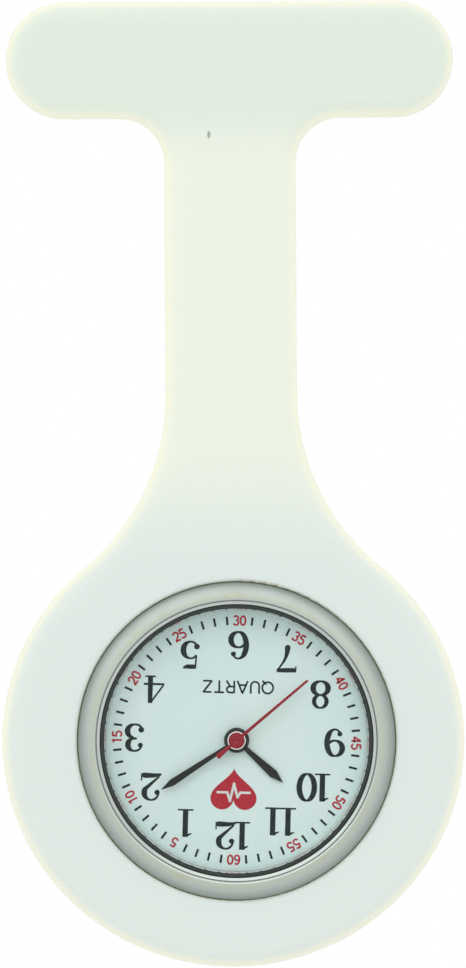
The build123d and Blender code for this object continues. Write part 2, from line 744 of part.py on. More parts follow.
with BuildPart() as dial_washer:
    disc(1.8, -4.47, -4.37)
    disc(0.86, -4.47, -4.37, mode=Mode.SUBTRACT)

# ---------------------------------------------------------------- hands
hour_level, minute_level, second_level = -5.15, -5.65, -6.08


def blade(depth, clock_angle, outline, thickness):
    """A flat hand: (distance from the centre, half width) pairs, mirrored about its length."""
    right = [(half, distance) for distance, half in outline]
    left = [(-half, distance) for distance, half in reversed(outline) if half]
    with BuildSketch(hand_plane(depth, clock_angle)) as outline:
        with BuildLine():
            Polyline(*right, *left, close=True)
        make_face()
    extrude(outline.sketch, amount=thickness)


with BuildPart() as hour_hand:
    blade(hour_level, hour_angle, [(0, 0.16), (4.55, 0.40), (hour_length, 0)], 0.12)
    disc(1.15, hour_level - 0.17, hour_level + 0.08)
    disc(hour_pipe_radius, hour_level - 0.3, hour_level + 0.2, mode=Mode.SUBTRACT)

with BuildPart() as minute_hand:
    blade(minute_level, minute_angle, [(0, 0.15), (7.05, 0.32), (minute_length, 0)], 0.12)
    disc(1.05, minute_level - 0.17, minute_level + 0.08)
    disc(cannon_pipe_radius, minute_level - 0.3, minute_level + 0.2, mode=Mode.SUBTRACT)

with BuildPart() as second_hand:
    blade(
        second_level,
        second_angle,
        [(-second_tail, 0.27), (-0.8, 0.16), (0.8, 0.13), (second_length, 0.10)],
        0.10,
    )
    disc(0.84, second_level - 0.20, second_level + 0.06)
    fillet(second_hand.edges().group_by(Axis.Y)[0], radius=0.08)
    disc(seconds_arbor, second_level - 0.12, second_level + 0.2, mode=Mode.SUBTRACT)

# ---------------------------------------------------------------- crown, stem and setting work
stem_radius, groove_radius = 0.45, 0.25
square, square_length = 0.5, 2.5
crown_radius, crown_inner, crown_outer = 1.5, -15.35, -16.95

with BuildPart() as winding_stem:
    with BuildSketch(stem_plane):
        with BuildLine():
            Polyline(
                (-7.6, 0),
                (-7.6, stem_radius),
                (finger_x + 0.4, stem_radius),
                (finger_x + 0.4, groove_radius),
                (finger_x - 0.4, groove_radius),
                (finger_x - 0.4, stem_radius),
                (-16.5, stem_radius),
                (-16.5, 0),
                close=True,
            )
        make_face()
    revolve(axis=stem_axis)
    with BuildSketch(Plane(origin=(-7.6, stem_depth, head_z), x_dir=(0, 1, 0), z_dir=(1, 0, 0))):
        Rectangle(square, square)
    extrude(amount=square_length)

with BuildPart() as clutch_wheel:
    turned(
        [
            (clutch_end, 0),
            (clutch_end, 0.9),
            (clutch_end + 0.35, 0.9),
            (clutch_end + 0.35, 0.6),
            (clutch_end + 0.75, 0.6),
            (clutch_end + 0.75, 0.9),
            (clutch_start, 0.9),
            (clutch_start, 0),
        ],
        axis=stem_axis,
        plane=stem_plane,
    )
    with BuildSketch(Plane(origin=(clutch_end, stem_depth, head_z), x_dir=(0, 1, 0), z_dir=(1, 0, 0))):
        Rectangle(square + 0.06, square + 0.06)
    extrude(amount=clutch_start - clutch_end, mode=Mode.SUBTRACT)
    # face teeth
    with BuildSketch(Plane(origin=(clutch_start, stem_depth, head_z), x_dir=(0, 1, 0), z_dir=(1, 0, 0))):
        with PolarLocations(0.75, 12):
            Rectangle(0.5, 0.2)
    extrude(amount=-0.2, mode=Mode.SUBTRACT)

with BuildPart() as crown:
    with BuildSketch(Plane(origin=(crown_inner, stem_depth, head_z), z_dir=(-1, 0, 0))):
        Circle(crown_radius)
        with PolarLocations(crown_radius + 0.05, 28):
            Circle(0.13, mode=Mode.SUBTRACT)
    extrude(amount=crown_inner - crown_outer)
    with BuildSketch(Plane(origin=(crown_inner, stem_depth, head_z), z_dir=(-1, 0, 0))):
        Circle(1.15)
    extrude(amount=0.8, mode=Mode.SUBTRACT)
    with BuildSketch(Plane(origin=(crown_inner, stem_depth, head_z), z_dir=(-1, 0, 0))):
        Circle(stem_radius)
    extrude(amount=crown_inner + 16.5, mode=Mode.SUBTRACT)

with BuildPart() as crown_gasket:
    with BuildSketch(Plane(origin=(-15.45, stem_depth, head_z), z_dir=(-1, 0, 0))):
        Circle(1.14)
        Circle(tube_radius + 0.02, mode=Mode.SUBTRACT)
    extrude(amount=0.25)

with BuildPart() as setting_lever:
    lever_tilt = degrees(atan2(lever_pivot[0] - finger_x, lever_pivot[1] - finger_v))
    lever_middle = ((lever_pivot[0] + finger_x) / 2, (lever_pivot[1] + finger_v) / 2)
    with BuildSketch(face_plane(-2.25)):
        with Locations(Location((*lever_middle, 0), (0, 0, 90 - lever_tilt))):
            SlotCenterToCenter(lever_arm, 0.9)
        with Locations(lever_pivot):
            Circle(0.7)
            Circle(0.35 + running, mode=Mode.SUBTRACT)
    extrude(amount=0.22)
    disc(0.22, -3.2, -2.25, (finger_x, finger_v))

with BuildPart() as clutch_yoke:
    yoke_x = clutch_end + 0.55
    with BuildSketch(face_plane(-2.9)):
        with Locations((yoke_x, -1.9)):
            Rectangle(0.3, 2.5)
        with Locations((yoke_x - 0.85, -3.3)):
            RectangleRounded(2.6, 0.9, 0.3)
    extrude(amount=0.2)
    disc(0.3, plate_back, -2.9, (yoke_x - 1.5, -3.3))

# ---------------------------------------------------------------- write every piece
pieces = {
    "silicone_holder": silicone_holder,
    "brooch_base": brooch_base,
    "hinge_rivet": hinge_rivet,
    "pin_stem": pin_stem,
    "catch_roller": catch_roller,
    "case_body": case_body,
    "crown_tube": crown_tube,
    "crystal": crystal,
    "crystal_gasket": crystal_gasket,
    "dial_ring": dial_ring,
    "dial": dial,
    "back_cover": back_cover,
    "back_gasket": back_gasket,
    "movement_ring": movement_ring,
    "main_plate": main_plate,
    "train_bridge": train_bridge,
    "stator": stator,
    "coil_core": coil_core,
    "coil_winding": coil_winding,
    "circuit_board": circuit_board,
    "circuit_chip": circuit_chip,
    "quartz_can": quartz_can,
    "battery": battery,
    "battery_clamp": battery_clamp,
    "movement_screws": movement_screws,
    "seconds_wheel": seconds_wheel,
    "third_wheel": third_wheel,
    "centre_wheel": centre_wheel,
    "fifth_wheel": fifth_wheel,
    "rotor": rotor,
    "cannon_pinion": cannon_pinion,
    "minute_wheel": minute_wheel,
    "hour_wheel": hour_wheel,
    "dial_washer": dial_washer,
    "hour_hand": hour_hand,
    "minute_hand": minute_hand,
    "second_hand": second_hand,
    "winding_stem": winding_stem,
    "clutch_wheel": clutch_wheel,
    "crown": crown,
    "crown_gasket": crown_gasket,
    "setting_lever": setting_lever,
    "clutch_yoke": clutch_yoke,
}
for label, piece in pieces.items():
    piece.part.label = label
    export_step(piece.part, f"parts/{label}.step")

print("third", third_at, "fifth", fifth_at, "rotor", rotor_at, "minute", minute_at)
print("lever swing", degrees(lever_swing), "degrees over", crown_travel + clutch_shift, "mm")
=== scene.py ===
# Fob watch: finishes, dial printing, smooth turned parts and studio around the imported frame. Metres.
import json
from math import cos, hypot, pi, radians, sin

import bpy
import numpy as np
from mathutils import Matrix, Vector

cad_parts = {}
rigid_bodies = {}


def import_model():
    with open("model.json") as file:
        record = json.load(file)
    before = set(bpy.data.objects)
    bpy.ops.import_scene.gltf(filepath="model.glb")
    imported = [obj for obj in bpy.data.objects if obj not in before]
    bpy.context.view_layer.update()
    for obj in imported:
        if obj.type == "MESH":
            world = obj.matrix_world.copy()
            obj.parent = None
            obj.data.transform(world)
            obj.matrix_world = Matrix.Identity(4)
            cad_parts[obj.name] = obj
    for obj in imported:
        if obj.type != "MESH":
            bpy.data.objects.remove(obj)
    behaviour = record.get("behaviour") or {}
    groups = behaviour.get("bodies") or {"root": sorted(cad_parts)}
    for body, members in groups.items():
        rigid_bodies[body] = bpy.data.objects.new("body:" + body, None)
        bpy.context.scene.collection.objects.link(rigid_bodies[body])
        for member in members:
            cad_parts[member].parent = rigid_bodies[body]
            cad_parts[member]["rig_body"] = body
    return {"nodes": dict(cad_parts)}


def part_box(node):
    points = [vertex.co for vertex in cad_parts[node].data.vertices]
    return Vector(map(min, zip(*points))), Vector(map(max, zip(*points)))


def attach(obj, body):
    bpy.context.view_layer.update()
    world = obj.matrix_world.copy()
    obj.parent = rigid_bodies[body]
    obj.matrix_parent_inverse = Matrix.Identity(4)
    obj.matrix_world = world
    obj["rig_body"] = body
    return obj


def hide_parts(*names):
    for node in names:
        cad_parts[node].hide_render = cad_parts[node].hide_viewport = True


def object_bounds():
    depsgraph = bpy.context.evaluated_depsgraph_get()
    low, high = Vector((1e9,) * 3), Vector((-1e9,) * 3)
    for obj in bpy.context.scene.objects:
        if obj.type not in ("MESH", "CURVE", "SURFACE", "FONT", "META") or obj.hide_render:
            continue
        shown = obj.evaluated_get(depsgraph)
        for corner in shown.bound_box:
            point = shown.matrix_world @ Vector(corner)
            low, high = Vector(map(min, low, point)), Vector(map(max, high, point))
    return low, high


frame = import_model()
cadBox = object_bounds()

mm = 0.001
nodes = frame["nodes"]
caseLow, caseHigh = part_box("case_body")
dialHeight = (caseLow.z + caseHigh.z) / 2  # z of the dial's centre
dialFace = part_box("dial")[0].y  # y of the dial's front
bezelFront = caseLow.y
print("frame loaded:", len(nodes), "nodes, dial centre at z", round(dialHeight, 5))


# mesh helpers

def gridFaces(rows, columns, closeRows=False, closeColumns=True):
    # quads between neighbouring points of a rows by columns grid, wrapping where it is closed
    i = np.arange(rows if closeRows else rows - 1)
    j = np.arange(columns if closeColumns else columns - 1)
    i, j = np.meshgrid(i, j, indexing="ij")
    nextI, nextJ = (i + 1) % rows, (j + 1) % columns
    quads = (i * columns + j, i * columns + nextJ, nextI * columns + nextJ, nextI * columns + j)
    return np.stack(quads, axis=-1).reshape(-1, 4)


def facingOut(points, faces):
    # the same faces, turned over if they enclose a negative volume
    middle = np.mean(points, axis=0)
    volume = 0.0
    for block in faces:
        corner = [points[block[:, k]] - middle for k in range(block.shape[1])]
        for k in range(1, block.shape[1] - 1):
            volume += np.sum(corner[0] * np.cross(corner[k], corner[k + 1]))
    return [block[:, ::-1] for block in faces] if volume < 0 else faces


def meshOf(name, points, faces, smoothAngle=35):
    # faces is a list of index arrays, each of rows of 3 or 4 corners; together they close
    faces = facingOut(np.asarray(points, float), faces)
    mesh = bpy.data.meshes.new(name)
    corners = np.concatenate([block.ravel() for block in faces]).astype(np.int32)
    sizes = np.concatenate([np.full(len(block), block.shape[1]) for block in faces])
    mesh.vertices.add(len(points))
    mesh.vertices.foreach_set("co", np.asarray(points, np.float32).ravel())
    mesh.loops.add(len(corners))
    mesh.loops.foreach_set("vertex_index", corners)
    mesh.polygons.add(len(sizes))
    mesh.polygons.foreach_set("loop_start", (np.cumsum(sizes) - sizes).astype(np.int32))
    mesh.update(calc_edges=True)
    mesh.validate()
    mesh.polygons.foreach_set("use_smooth", np.ones(len(mesh.polygons), bool))
    mesh.set_sharp_from_angle(angle=radians(smoothAngle))
    return mesh


def place(name, mesh, finish, body, replaced=()):
    piece = bpy.data.objects.new(name, mesh)
    bpy.context.scene.collection.objects.link(piece)
    mesh.materials.clear()
    mesh.materials.append(finish)
    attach(piece, body)
    if replaced:
        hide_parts(*replaced)
    return piece


def rounded(outline, radius, steps=5):
    # a closed outline whose corners become arcs: each corner's arc touches both its sides at
    # radius * tan(half turn) from the corner, or at 45% of the shorter side if that is less
    points = np.asarray(outline, float)
    before, after = np.roll(points, 1, axis=0), np.roll(points, -1, axis=0)
    toBefore, toAfter = before - points, after - points
    lengthBefore, lengthAfter = np.linalg.norm(toBefore, axis=1), np.linalg.norm(toAfter, axis=1)
    toBefore, toAfter = toBefore / lengthBefore[:, None], toAfter / lengthAfter[:, None]
    inside = np.arccos(np.clip((toBefore * toAfter).sum(1), -1, 1))
    reach = np.minimum(radius / np.tan(inside / 2), 0.45 * np.minimum(lengthBefore, lengthAfter))
    start, end = points + toBefore * reach[:, None], points + toAfter * reach[:, None]
    t = np.linspace(0, 1, steps)[None, :, None]
    curve = (1 - t) ** 2 * start[:, None] + 2 * t * (1 - t) * points[:, None] + t ** 2 * end[:, None]
    return curve.reshape(-1, 2)


def turned(name, outline, segments=256, centre=(0, 0), axis="Y"):
    # a closed outline of (radius, distance along the axis) in mm carried round the axis:
    # x = r cos a, z = r sin a, y = the distance; the axis runs along Y at the dial, or along X or Z at centre
    outline = np.asarray(outline, float)
    turn = np.linspace(0, 2 * pi, segments, endpoint=False)
    radius = np.meshgrid(outline[:, 0], turn, indexing="ij")[0]
    along = np.repeat(outline[:, 1:], segments, axis=1)
    across, up = radius * np.cos(turn), radius * np.sin(turn)
    if axis == "Y":
        points = np.stack([across + centre[0], along, up + centre[1]], axis=-1)
    elif axis == "X":
        points = np.stack([along, across + centre[0], up + centre[1]], axis=-1)
    else:
        points = np.stack([up + centre[0], across + centre[1], along], axis=-1)
    points = points.reshape(-1, 3) * mm
    if axis == "Y":
        points[:, 2] += dialHeight
    faces = gridFaces(len(outline), segments, closeRows=True)
    return weldPoles(meshOf(name, points, [faces]))


def weldPoles(mesh):
    # rings of zero radius shrink to one point, and their faces to triangles
    import bmesh
    build = bmesh.new()
    build.from_mesh(mesh)
    bmesh.ops.remove_doubles(build, verts=build.verts, dist=1e-8)
    bmesh.ops.dissolve_degenerate(build, edges=build.edges, dist=1e-9)
    build.to_mesh(mesh)
    build.free()
    return mesh


def merged(nodeName, name, smoothAngle=32):
    # a CAD node's loose triangles joined where their corners meet, with smooth shading
    source = nodes[nodeName].data
    points = np.empty(len(source.vertices) * 3, np.float32)
    source.vertices.foreach_get("co", points)
    source.calc_loop_triangles()
    triangles = np.empty(len(source.loop_triangles) * 3, np.int32)
    source.loop_triangles.foreach_get("vertices", triangles)
    cells = np.round(points.reshape(-1, 3) / 2e-7).astype(np.int64)
    first, where = np.unique(cells, axis=0, return_index=True, return_inverse=True)[1:]
    triangles = where.reshape(-1)[triangles].reshape(-1, 3)
    whole = (triangles[:, 0] != triangles[:, 1]) & (triangles[:, 1] != triangles[:, 2])
    whole &= triangles[:, 0] != triangles[:, 2]
    return meshOf(name, points.reshape(-1, 3)[first], [triangles[whole]], smoothAngle)


# shader helpers

class Wire:
    # one output of a finish's nodes, so that shader maths reads as plain sums
    def __init__(self, finish, end):
        self.finish, self.end = finish, end

    def sum(self, operation, first, second):
        return self.finish.node("Math", {"operation": operation}, {0: first, 1: second})

    def __add__(self, other):
        return self.sum("ADD", self, other)

    __radd__ = __add__

    def __sub__(self, other):
        return self.sum("SUBTRACT", self, other)

    def __rsub__(self, other):
        return self.sum("SUBTRACT", other, self)

    def __mul__(self, other):
        return self.sum("MULTIPLY", self, other)

    __rmul__ = __mul__

    def __truediv__(self, other):
        return self.sum("DIVIDE", self, other)

    def __pow__(self, other):
        return self.sum("POWER", self, other)

    def __abs__(self):
        return self.finish.node("Math", {"operation": "ABSOLUTE"}, {0: self})


class Finish:
    # a material being put together
    def __init__(self, name):
        self.material = bpy.data.materials.new(name)
        self.material.use_nodes = True
        self.tree = self.material.node_tree
        self.tree.nodes.clear()

    def node(self, kind, settings=None, sockets=None, out=0):
        made = self.tree.nodes.new("ShaderNode" + kind)
        for key, value in (settings or {}).items():
            if key == "stops":
                while len(made.color_ramp.elements) < len(value):
                    made.color_ramp.elements.new(0.5)
                for element, (position, colour) in zip(made.color_ramp.elements, value):
                    element.position, element.color = position, colour
            else:
                setattr(made, key, value)
        for key, value in (sockets or {}).items():
            if isinstance(value, Wire):
                self.tree.links.new(value.end, made.inputs[key])
            else:
                made.inputs[key].default_value = value
        return Wire(self, made.outputs[out]) if made.outputs else None

    def place(self):
        return self.node("TexCoord", out="Object")

    def axes(self, vector):
        split = self.node("SeparateXYZ", None, {0: vector})
        return [Wire(self, end) for end in split.end.node.outputs]

    def normal(self):
        return self.node("TexCoord", out="Normal")

    def noise(self, scale, detail=3, vector=None, roughness=0.5):
        sockets = {"Vector": vector or self.place(), "Scale": scale, "Detail": detail, "Roughness": roughness}
        return self.node("TexNoise", {"noise_dimensions": "3D"}, sockets)

    def step(self, value, low, high, fromValue=0.0, toValue=1.0):
        # a smooth step from fromValue at low to toValue at high
        settings = {"interpolation_type": "SMOOTHSTEP", "clamp": True}
        sockets = {"Value": value, "From Min": low, "From Max": high, "To Min": fromValue, "To Max": toValue}
        return self.node("MapRange", settings, sockets)

    def blend(self, share, first, second):
        # 6 and 7 are the Mix node's two colours, and 2 is its colour output
        sockets = {0: share, 6: first, 7: second}
        return self.node("Mix", {"data_type": "RGBA"}, sockets, out=2)

    def bump(self, height, distance, strength=1.0):
        return self.node("Bump", None, {"Height": height, "Distance": distance, "Strength": strength})

    def radius(self):
        # distance from the dial's axis
        x, _, z = self.axes(self.place())
        up = z - dialHeight
        return (x * x + up * up) ** 0.5

    def done(self, **sockets):
        shader = self.node("BsdfPrincipled", None, {key.replace("_", " "): v for key, v in sockets.items()})
        self.node("OutputMaterial", None, {"Surface": shader})
        return self.material


def rgb(red, green, blue):
    return (red, green, blue, 1.0)


# finishes

siliconeLook = {
    "head": rgb(0.75, 0.825, 0.785),  # round body, painted darker as shade
    "strap": rgb(0.845, 0.90, 0.785),  # thin strap, painted lighter where more light falls
    # the bar, painted a little darker than the strap as shade
    "bar": rgb(0.755, 0.84, 0.75),
    "edge": rgb(0.985, 0.995, 0.79),  # painted light on the rounded edges, lighter and yellower where they turn sideways
    "roughness": 0.52,
    "speck": (-2.2 * mm, 0.0, -6.9 * mm),  # a bit of lint caught on the strap
    "speckSize": 0.16 * mm,
}


def siliconeFinish():
    f = Finish("softSilicone")
    x, _, z = f.axes(f.place())
    ny = f.axes(f.normal())[1]
    cloud = f.noise(55, 2)
    # painted light and shade by height: the round head darker, the strap lighter, the bar a little darker
    body = f.blend(f.step(z, -0.0465, -0.034), siliconeLook["head"], siliconeLook["strap"])
    body = f.blend(f.step(z, -0.0095, -0.0042), body, siliconeLook["bar"])
    # painted light: the rounded edges lighter and yellower the more they face sideways
    edge = f.step(abs(ny), 0.985, 0.45) * 0.9
    colour = f.blend(edge, body, siliconeLook["edge"])
    colour = f.blend(cloud * 0.06, colour, rgb(0.80, 0.84, 0.74))
    grain = f.noise(2600, 4) + f.noise(700, 2) * 0.5
    speckX, speckZ = (x - siliconeLook["speck"][0]), (z - siliconeLook["speck"][2]) * 0.45
    speckDistance = (speckX * speckX + speckZ * speckZ) ** 0.5
    speck = f.step(speckDistance, siliconeLook["speckSize"] * 1.3, siliconeLook["speckSize"] * 0.5)
    colour = f.blend(speck * f.step(ny, -0.6, -0.9) * 0.6, colour, rgb(0.10, 0.12, 0.10))
    rough = siliconeLook["roughness"] + (f.noise(160, 3) - 0.5) * 0.12
    return f.done(Base_Color=colour, Roughness=rough, Normal=f.bump(grain, 6e-6),
                  Subsurface_Weight=0.25, Subsurface_Radius=(1.0, 0.9, 0.6), Subsurface_Scale=0.0015,
                  Specular_IOR_Level=0.35, Sheen_Weight=0.08, Sheen_Roughness=0.6)


bezelLook = {
    "satin": rgb(0.475, 0.535, 0.505),
    "satinInner": rgb(0.52, 0.57, 0.49),
    "bright": rgb(0.56, 0.62, 0.58),
    "stain": rgb(0.50, 0.52, 0.37),
    "shade": rgb(0.24, 0.28, 0.26),
    # painted shade for the dark line in the groove
    "joint": rgb(0.05, 0.06, 0.055),
}


def bezelFinish():
    # fine turning lines round a satin ring, a polished step inside it, a painted dark line of shade in the
    # groove on the bevel inside the crest, and painted shade towards the ring's outer edge
    f = Finish("satinBezel")
    r = f.radius()
    y = f.axes(f.place())[1]
    front = f.step(y, bezelFront + 2.4 * mm, bezelFront + 1.6 * mm)
    polished = f.step(r, 13.04 * mm, 12.98 * mm)
    # painted shade towards the satin ring's outer edge, where it turns down into the silicone
    outer = f.step(r, 13.5 * mm, 14.45 * mm) * front
    inner = f.step(r, 13.75 * mm, 13.2 * mm) * front
    stain = f.step(f.noise(420, 4, roughness=0.65), 0.48, 0.72)
    colour = f.blend(inner, bezelLook["satin"], bezelLook["satinInner"])
    colour = f.blend(stain * (0.15 + inner * 0.45), colour, bezelLook["stain"])
    # darker noise spots in the outer band, in the painted shade colour
    spot = f.step(f.noise(900, 2), 0.66, 0.74) * f.step(r, 13.9 * mm, 14.3 * mm) * front
    colour = f.blend(spot * 0.5, colour, bezelLook["shade"])
    colour = f.blend(outer * 0.6, colour, bezelLook["shade"])
    colour = f.blend(polished, colour, bezelLook["bright"])
    # a painted dark line of shade in the groove between 12.72 and 12.90 mm
    groove = f.step(r, 12.72 * mm, 12.78 * mm) * f.step(r, 12.90 * mm, 12.84 * mm) * front
    colour = f.blend(groove * 0.55, colour, bezelLook["joint"])
    rings = f.node("TexNoise", {"noise_dimensions": "1D"}, {"W": r * 9000, "Detail": 3.0})
    rough = 0.38 + stain * 0.08 + (rings - 0.5) * 0.12 - polished * 0.14
    return f.done(Base_Color=colour, Metallic=1.0, Roughness=rough, Normal=f.bump(rings, 4e-6, 0.6))


def metalFinish(name, colour, roughness=0.22, scratch=0.1, grainStretch=(1, 1, 1), plate=1.0):
    # bright metal with fine straight grain and faint fingerprints
    f = Finish(name)
    along = f.node("Mapping", None, {"Vector": f.place(), "Scale": grainStretch})
    grain = f.noise(2400, 3, along)
    smudge = f.step(f.noise(180, 2), 0.42, 0.80)
    dull = tuple(0.86 * c for c in colour[:3]) + (1.0,)
    tint = f.blend(smudge * 0.5 + (grain - 0.5) * 0.3, colour, dull)
    rough = roughness + smudge * scratch + (grain - 0.5) * scratch
    return f.done(Base_Color=tint, Metallic=plate, Roughness=rough, Normal=f.bump(grain, 1.2e-6, 0.4))


def coverFinish():
    # a turned steel cover: fine rings round the dial axis, a polished groove and a few hairline scratches
    f = Finish("turnedSteel")
    r = f.radius()
    rings = f.node("TexNoise", {"noise_dimensions": "1D"}, {"W": r * 12000, "Detail": 3.0})
    groove = f.step(r, 9.6 * mm, 9.8 * mm) * f.step(r, 11.45 * mm, 11.25 * mm)
    stretched = f.node("Mapping", None, {
        "Vector": f.place(), "Rotation": (0.0, 0.6, 0.0), "Scale": (1, 1, 0.03)})
    hairline = f.step(f.noise(5200, 1, stretched), 0.70, 0.76)
    smudge = f.step(f.noise(120, 2), 0.40, 0.75)
    tint = f.blend(smudge * 0.35 + hairline * 0.3, rgb(0.63, 0.64, 0.63), rgb(0.50, 0.51, 0.50))
    rough = 0.30 + (rings - 0.5) * 0.16 - groove * 0.14 + smudge * 0.06
    return f.done(Base_Color=tint, Metallic=1.0, Roughness=rough, Normal=f.bump(rings, 3e-6, 0.5))


def plasticFinish(name, colour, roughness=0.45, wear=0.12):
    # moulded plastic with a faint spark-eroded texture and slight mottling
    f = Finish(name)
    mottle = f.noise(500, 3)
    dark = tuple(0.82 * c for c in colour[:3]) + (1.0,)
    tint = f.blend(mottle * wear * 2, colour, dark)
    rough = roughness + (f.noise(1400, 2) - 0.5) * 0.15
    return f.done(Base_Color=tint, Roughness=rough, Normal=f.bump(f.noise(3200, 2), 3e-6, 0.6))


def rubberFinish(name, colour):
    f = Finish(name)
    dust = f.step(f.noise(1300, 4), 0.55, 0.80)
    tint = f.blend(dust * 0.25, colour, rgb(0.20, 0.20, 0.19))
    return f.done(Base_Color=tint, Roughness=0.42 + dust * 0.25, Normal=f.bump(f.noise(2400, 3), 4e-6, 0.7))


dialLook = {
    "lacquer": rgb(0.745, 0.915, 0.885),
    # painted shade for the dial's rim under the inner ring
    "cool": rgb(0.70, 0.875, 0.855),
    "warm": rgb(0.785, 0.93, 0.90),
}


def dialFinish():
    # pale lacquer on a stamped plate, slightly uneven, with painted shade darkening its rim under the inner
    # ring
    f = Finish("dialLacquer")
    rim = f.step(f.radius(), 10.6 * mm, 11.9 * mm)
    cloud = f.noise(90, 2)
    tint = f.blend(f.step(cloud, 0.3, 0.7), dialLook["lacquer"], dialLook["warm"])
    # painted shade: darker towards the rim, under the inner ring
    tint = f.blend(rim * 0.6, tint, dialLook["cool"])
    rough = 0.38 + (f.noise(900, 3) - 0.5) * 0.1
    return f.done(Base_Color=tint, Roughness=rough, Coat_Weight=0.15, Coat_Roughness=0.2,
                  Normal=f.bump(f.noise(2800, 2), 1.5e-6, 0.5))


def innerRingFinish():
    # glossy pale ring, with a shaded line where its slope begins
    f = Finish("innerRing")
    r = f.radius()
    shade = f.step(r, 11.80 * mm, 11.84 * mm) * f.step(r, 11.93 * mm, 11.89 * mm)
    colour = f.blend(f.noise(300, 2) * 0.2, rgb(0.74, 0.83, 0.80), rgb(0.66, 0.76, 0.73))
    colour = f.blend(shade * 0.6, colour, rgb(0.12, 0.16, 0.15))
    return f.done(Base_Color=colour, Roughness=0.14 + shade * 0.2, Normal=f.bump(f.noise(900, 2), 2e-6, 0.4))


def inkFinish(name, colour, faded):
    # printing ink, a little thin in places
    f = Finish(name)
    thin = f.step(f.noise(1700, 3), 0.52, 0.78)
    tint = f.blend(thin * 0.3, colour, faded)
    return f.done(Base_Color=tint, Roughness=0.5 + thin * 0.15, Normal=f.bump(f.noise(5200, 2), 2e-6, 0.5),
                  Specular_IOR_Level=0.15)


def lacquerFinish(name, colour, edgeColour, roughness=0.3, shine=0.25):
    # a lacquered stamping: lacquer on the faces, bare metal showing on the cut edges
    f = Finish(name)
    ny = f.axes(f.normal())[1]
    worn = f.noise(2300, 3)
    bare = f.step(abs(ny) + (worn - 0.5) * 0.3, 0.62, 0.40)
    tint = f.blend(bare * 0.8, colour, edgeColour)
    tint = f.blend(f.step(worn, 0.6, 0.8) * 0.15, tint, edgeColour)
    return f.done(Base_Color=tint, Metallic=bare * 0.8, Roughness=roughness + (worn - 0.5) * 0.12,
                  Specular_IOR_Level=shine, Normal=f.bump(worn, 1e-6, 0.4))


def glassFinish():
    # clear mineral glass that lets the lamps through to the dial
    f = Finish("mineralGlass")
    haze = f.step(f.noise(700, 3), 0.60, 0.85)
    glass = f.node("BsdfPrincipled", None, {
        "Base Color": rgb(0.985, 1.0, 0.998), "Roughness": 0.01 + haze * 0.01, "IOR": 1.22,
        "Transmission Weight": 1.0})
    clear = f.node("BsdfTransparent", None, {"Color": rgb(0.97, 0.985, 0.98)})
    shadow = f.node("LightPath", out="Is Shadow Ray")
    both = f.node("MixShader", None, {0: shadow, 1: glass, 2: clear})
    f.node("OutputMaterial", None, {"Surface": both})
    return f.material


def boardFinish():
    # green solder mask over faint copper tracks that run round the board
    f = Finish("solderMask")
    tracks = f.step(abs(f.node("Math", {"operation": "SINE"}, {0: f.radius() * 16000})), 0.62, 0.80)
    tint = f.blend(tracks * 0.6, rgb(0.02, 0.13, 0.07), rgb(0.08, 0.30, 0.16))
    return f.done(Base_Color=tint, Roughness=0.28 + tracks * 0.08, Normal=f.bump(tracks, 6e-6))


def coilFinish():
    # turns of enamelled wire side by side along the winding, painted dark in the valleys between turns as shade
    f = Finish("enamelledWire")
    x = f.axes(f.place())[0]
    turns = abs(f.node("Math", {"operation": "SINE"}, {0: x * 42000}))
    # painted shade in the valleys between turns
    tint = f.blend(f.step(turns, 0.0, 0.5), rgb(0.13, 0.035, 0.01), rgb(0.62, 0.22, 0.07))
    return f.done(Base_Color=tint, Metallic=0.85, Roughness=0.3, Normal=f.bump(turns, 2e-5))


steel = rgb(0.62, 0.63, 0.63)
brass = rgb(0.72, 0.56, 0.27)
finishes = {
    "silicone": siliconeFinish(),
    "bezel": bezelFinish(),
    "steel": metalFinish("brightSteel", steel, 0.20, 0.10),
    "cover": coverFinish(),
    "can": metalFinish("nickelCan", rgb(0.60, 0.61, 0.60), 0.24, 0.10),
    "plate": metalFinish("rhodiumPlate", rgb(0.58, 0.57, 0.53), 0.30, 0.12),
    "brass": metalFinish("satinBrass", brass, 0.27, 0.12),
    "iron": metalFinish("softIron", rgb(0.42, 0.42, 0.40), 0.36, 0.12),
    "magnet": metalFinish("sinteredMagnet", rgb(0.10, 0.10, 0.11), 0.45, 0.10, plate=0.6),
    "gold": metalFinish("gildedCan", rgb(0.70, 0.66, 0.55), 0.18, 0.08),
    "glass": glassFinish(),
    "gasket": rubberFinish("blackRubber", rgb(0.018, 0.028, 0.026)),
    "white": plasticFinish("whitePlastic", rgb(0.70, 0.745, 0.735), 0.35),
    "innerRing": innerRingFinish(),
    "ivory": plasticFinish("ivoryPlastic", rgb(0.72, 0.67, 0.52)),
    "spacer": plasticFinish("blackPlastic", rgb(0.045, 0.047, 0.05)),
    "resin": plasticFinish("pottingResin", rgb(0.02, 0.02, 0.022), 0.22),
    "board": boardFinish(),
    "coil": coilFinish(),
    "dial": dialFinish(),
    "blackInk": inkFinish("blackInk", rgb(0.008, 0.020, 0.020), rgb(0.035, 0.055, 0.052)),
    "redInk": inkFinish("redInk", rgb(0.50, 0.018, 0.035), rgb(0.58, 0.08, 0.09)),
    "paleInk": inkFinish("paleInk", rgb(0.74, 0.79, 0.76), rgb(0.64, 0.72, 0.70)),
    "black": lacquerFinish("blackLacquer", rgb(0.006, 0.010, 0.007), rgb(0.22, 0.23, 0.19), 0.38),
    "red": lacquerFinish("redLacquer", rgb(0.32, 0.006, 0.018), rgb(0.30, 0.05, 0.05), 0.30),
    "etch": metalFinish("etchedSteel", rgb(0.13, 0.13, 0.13), 0.45, 0.08),
    "hub": metalFinish("polishedHub", rgb(0.80, 0.82, 0.78), 0.10, 0.04),
}
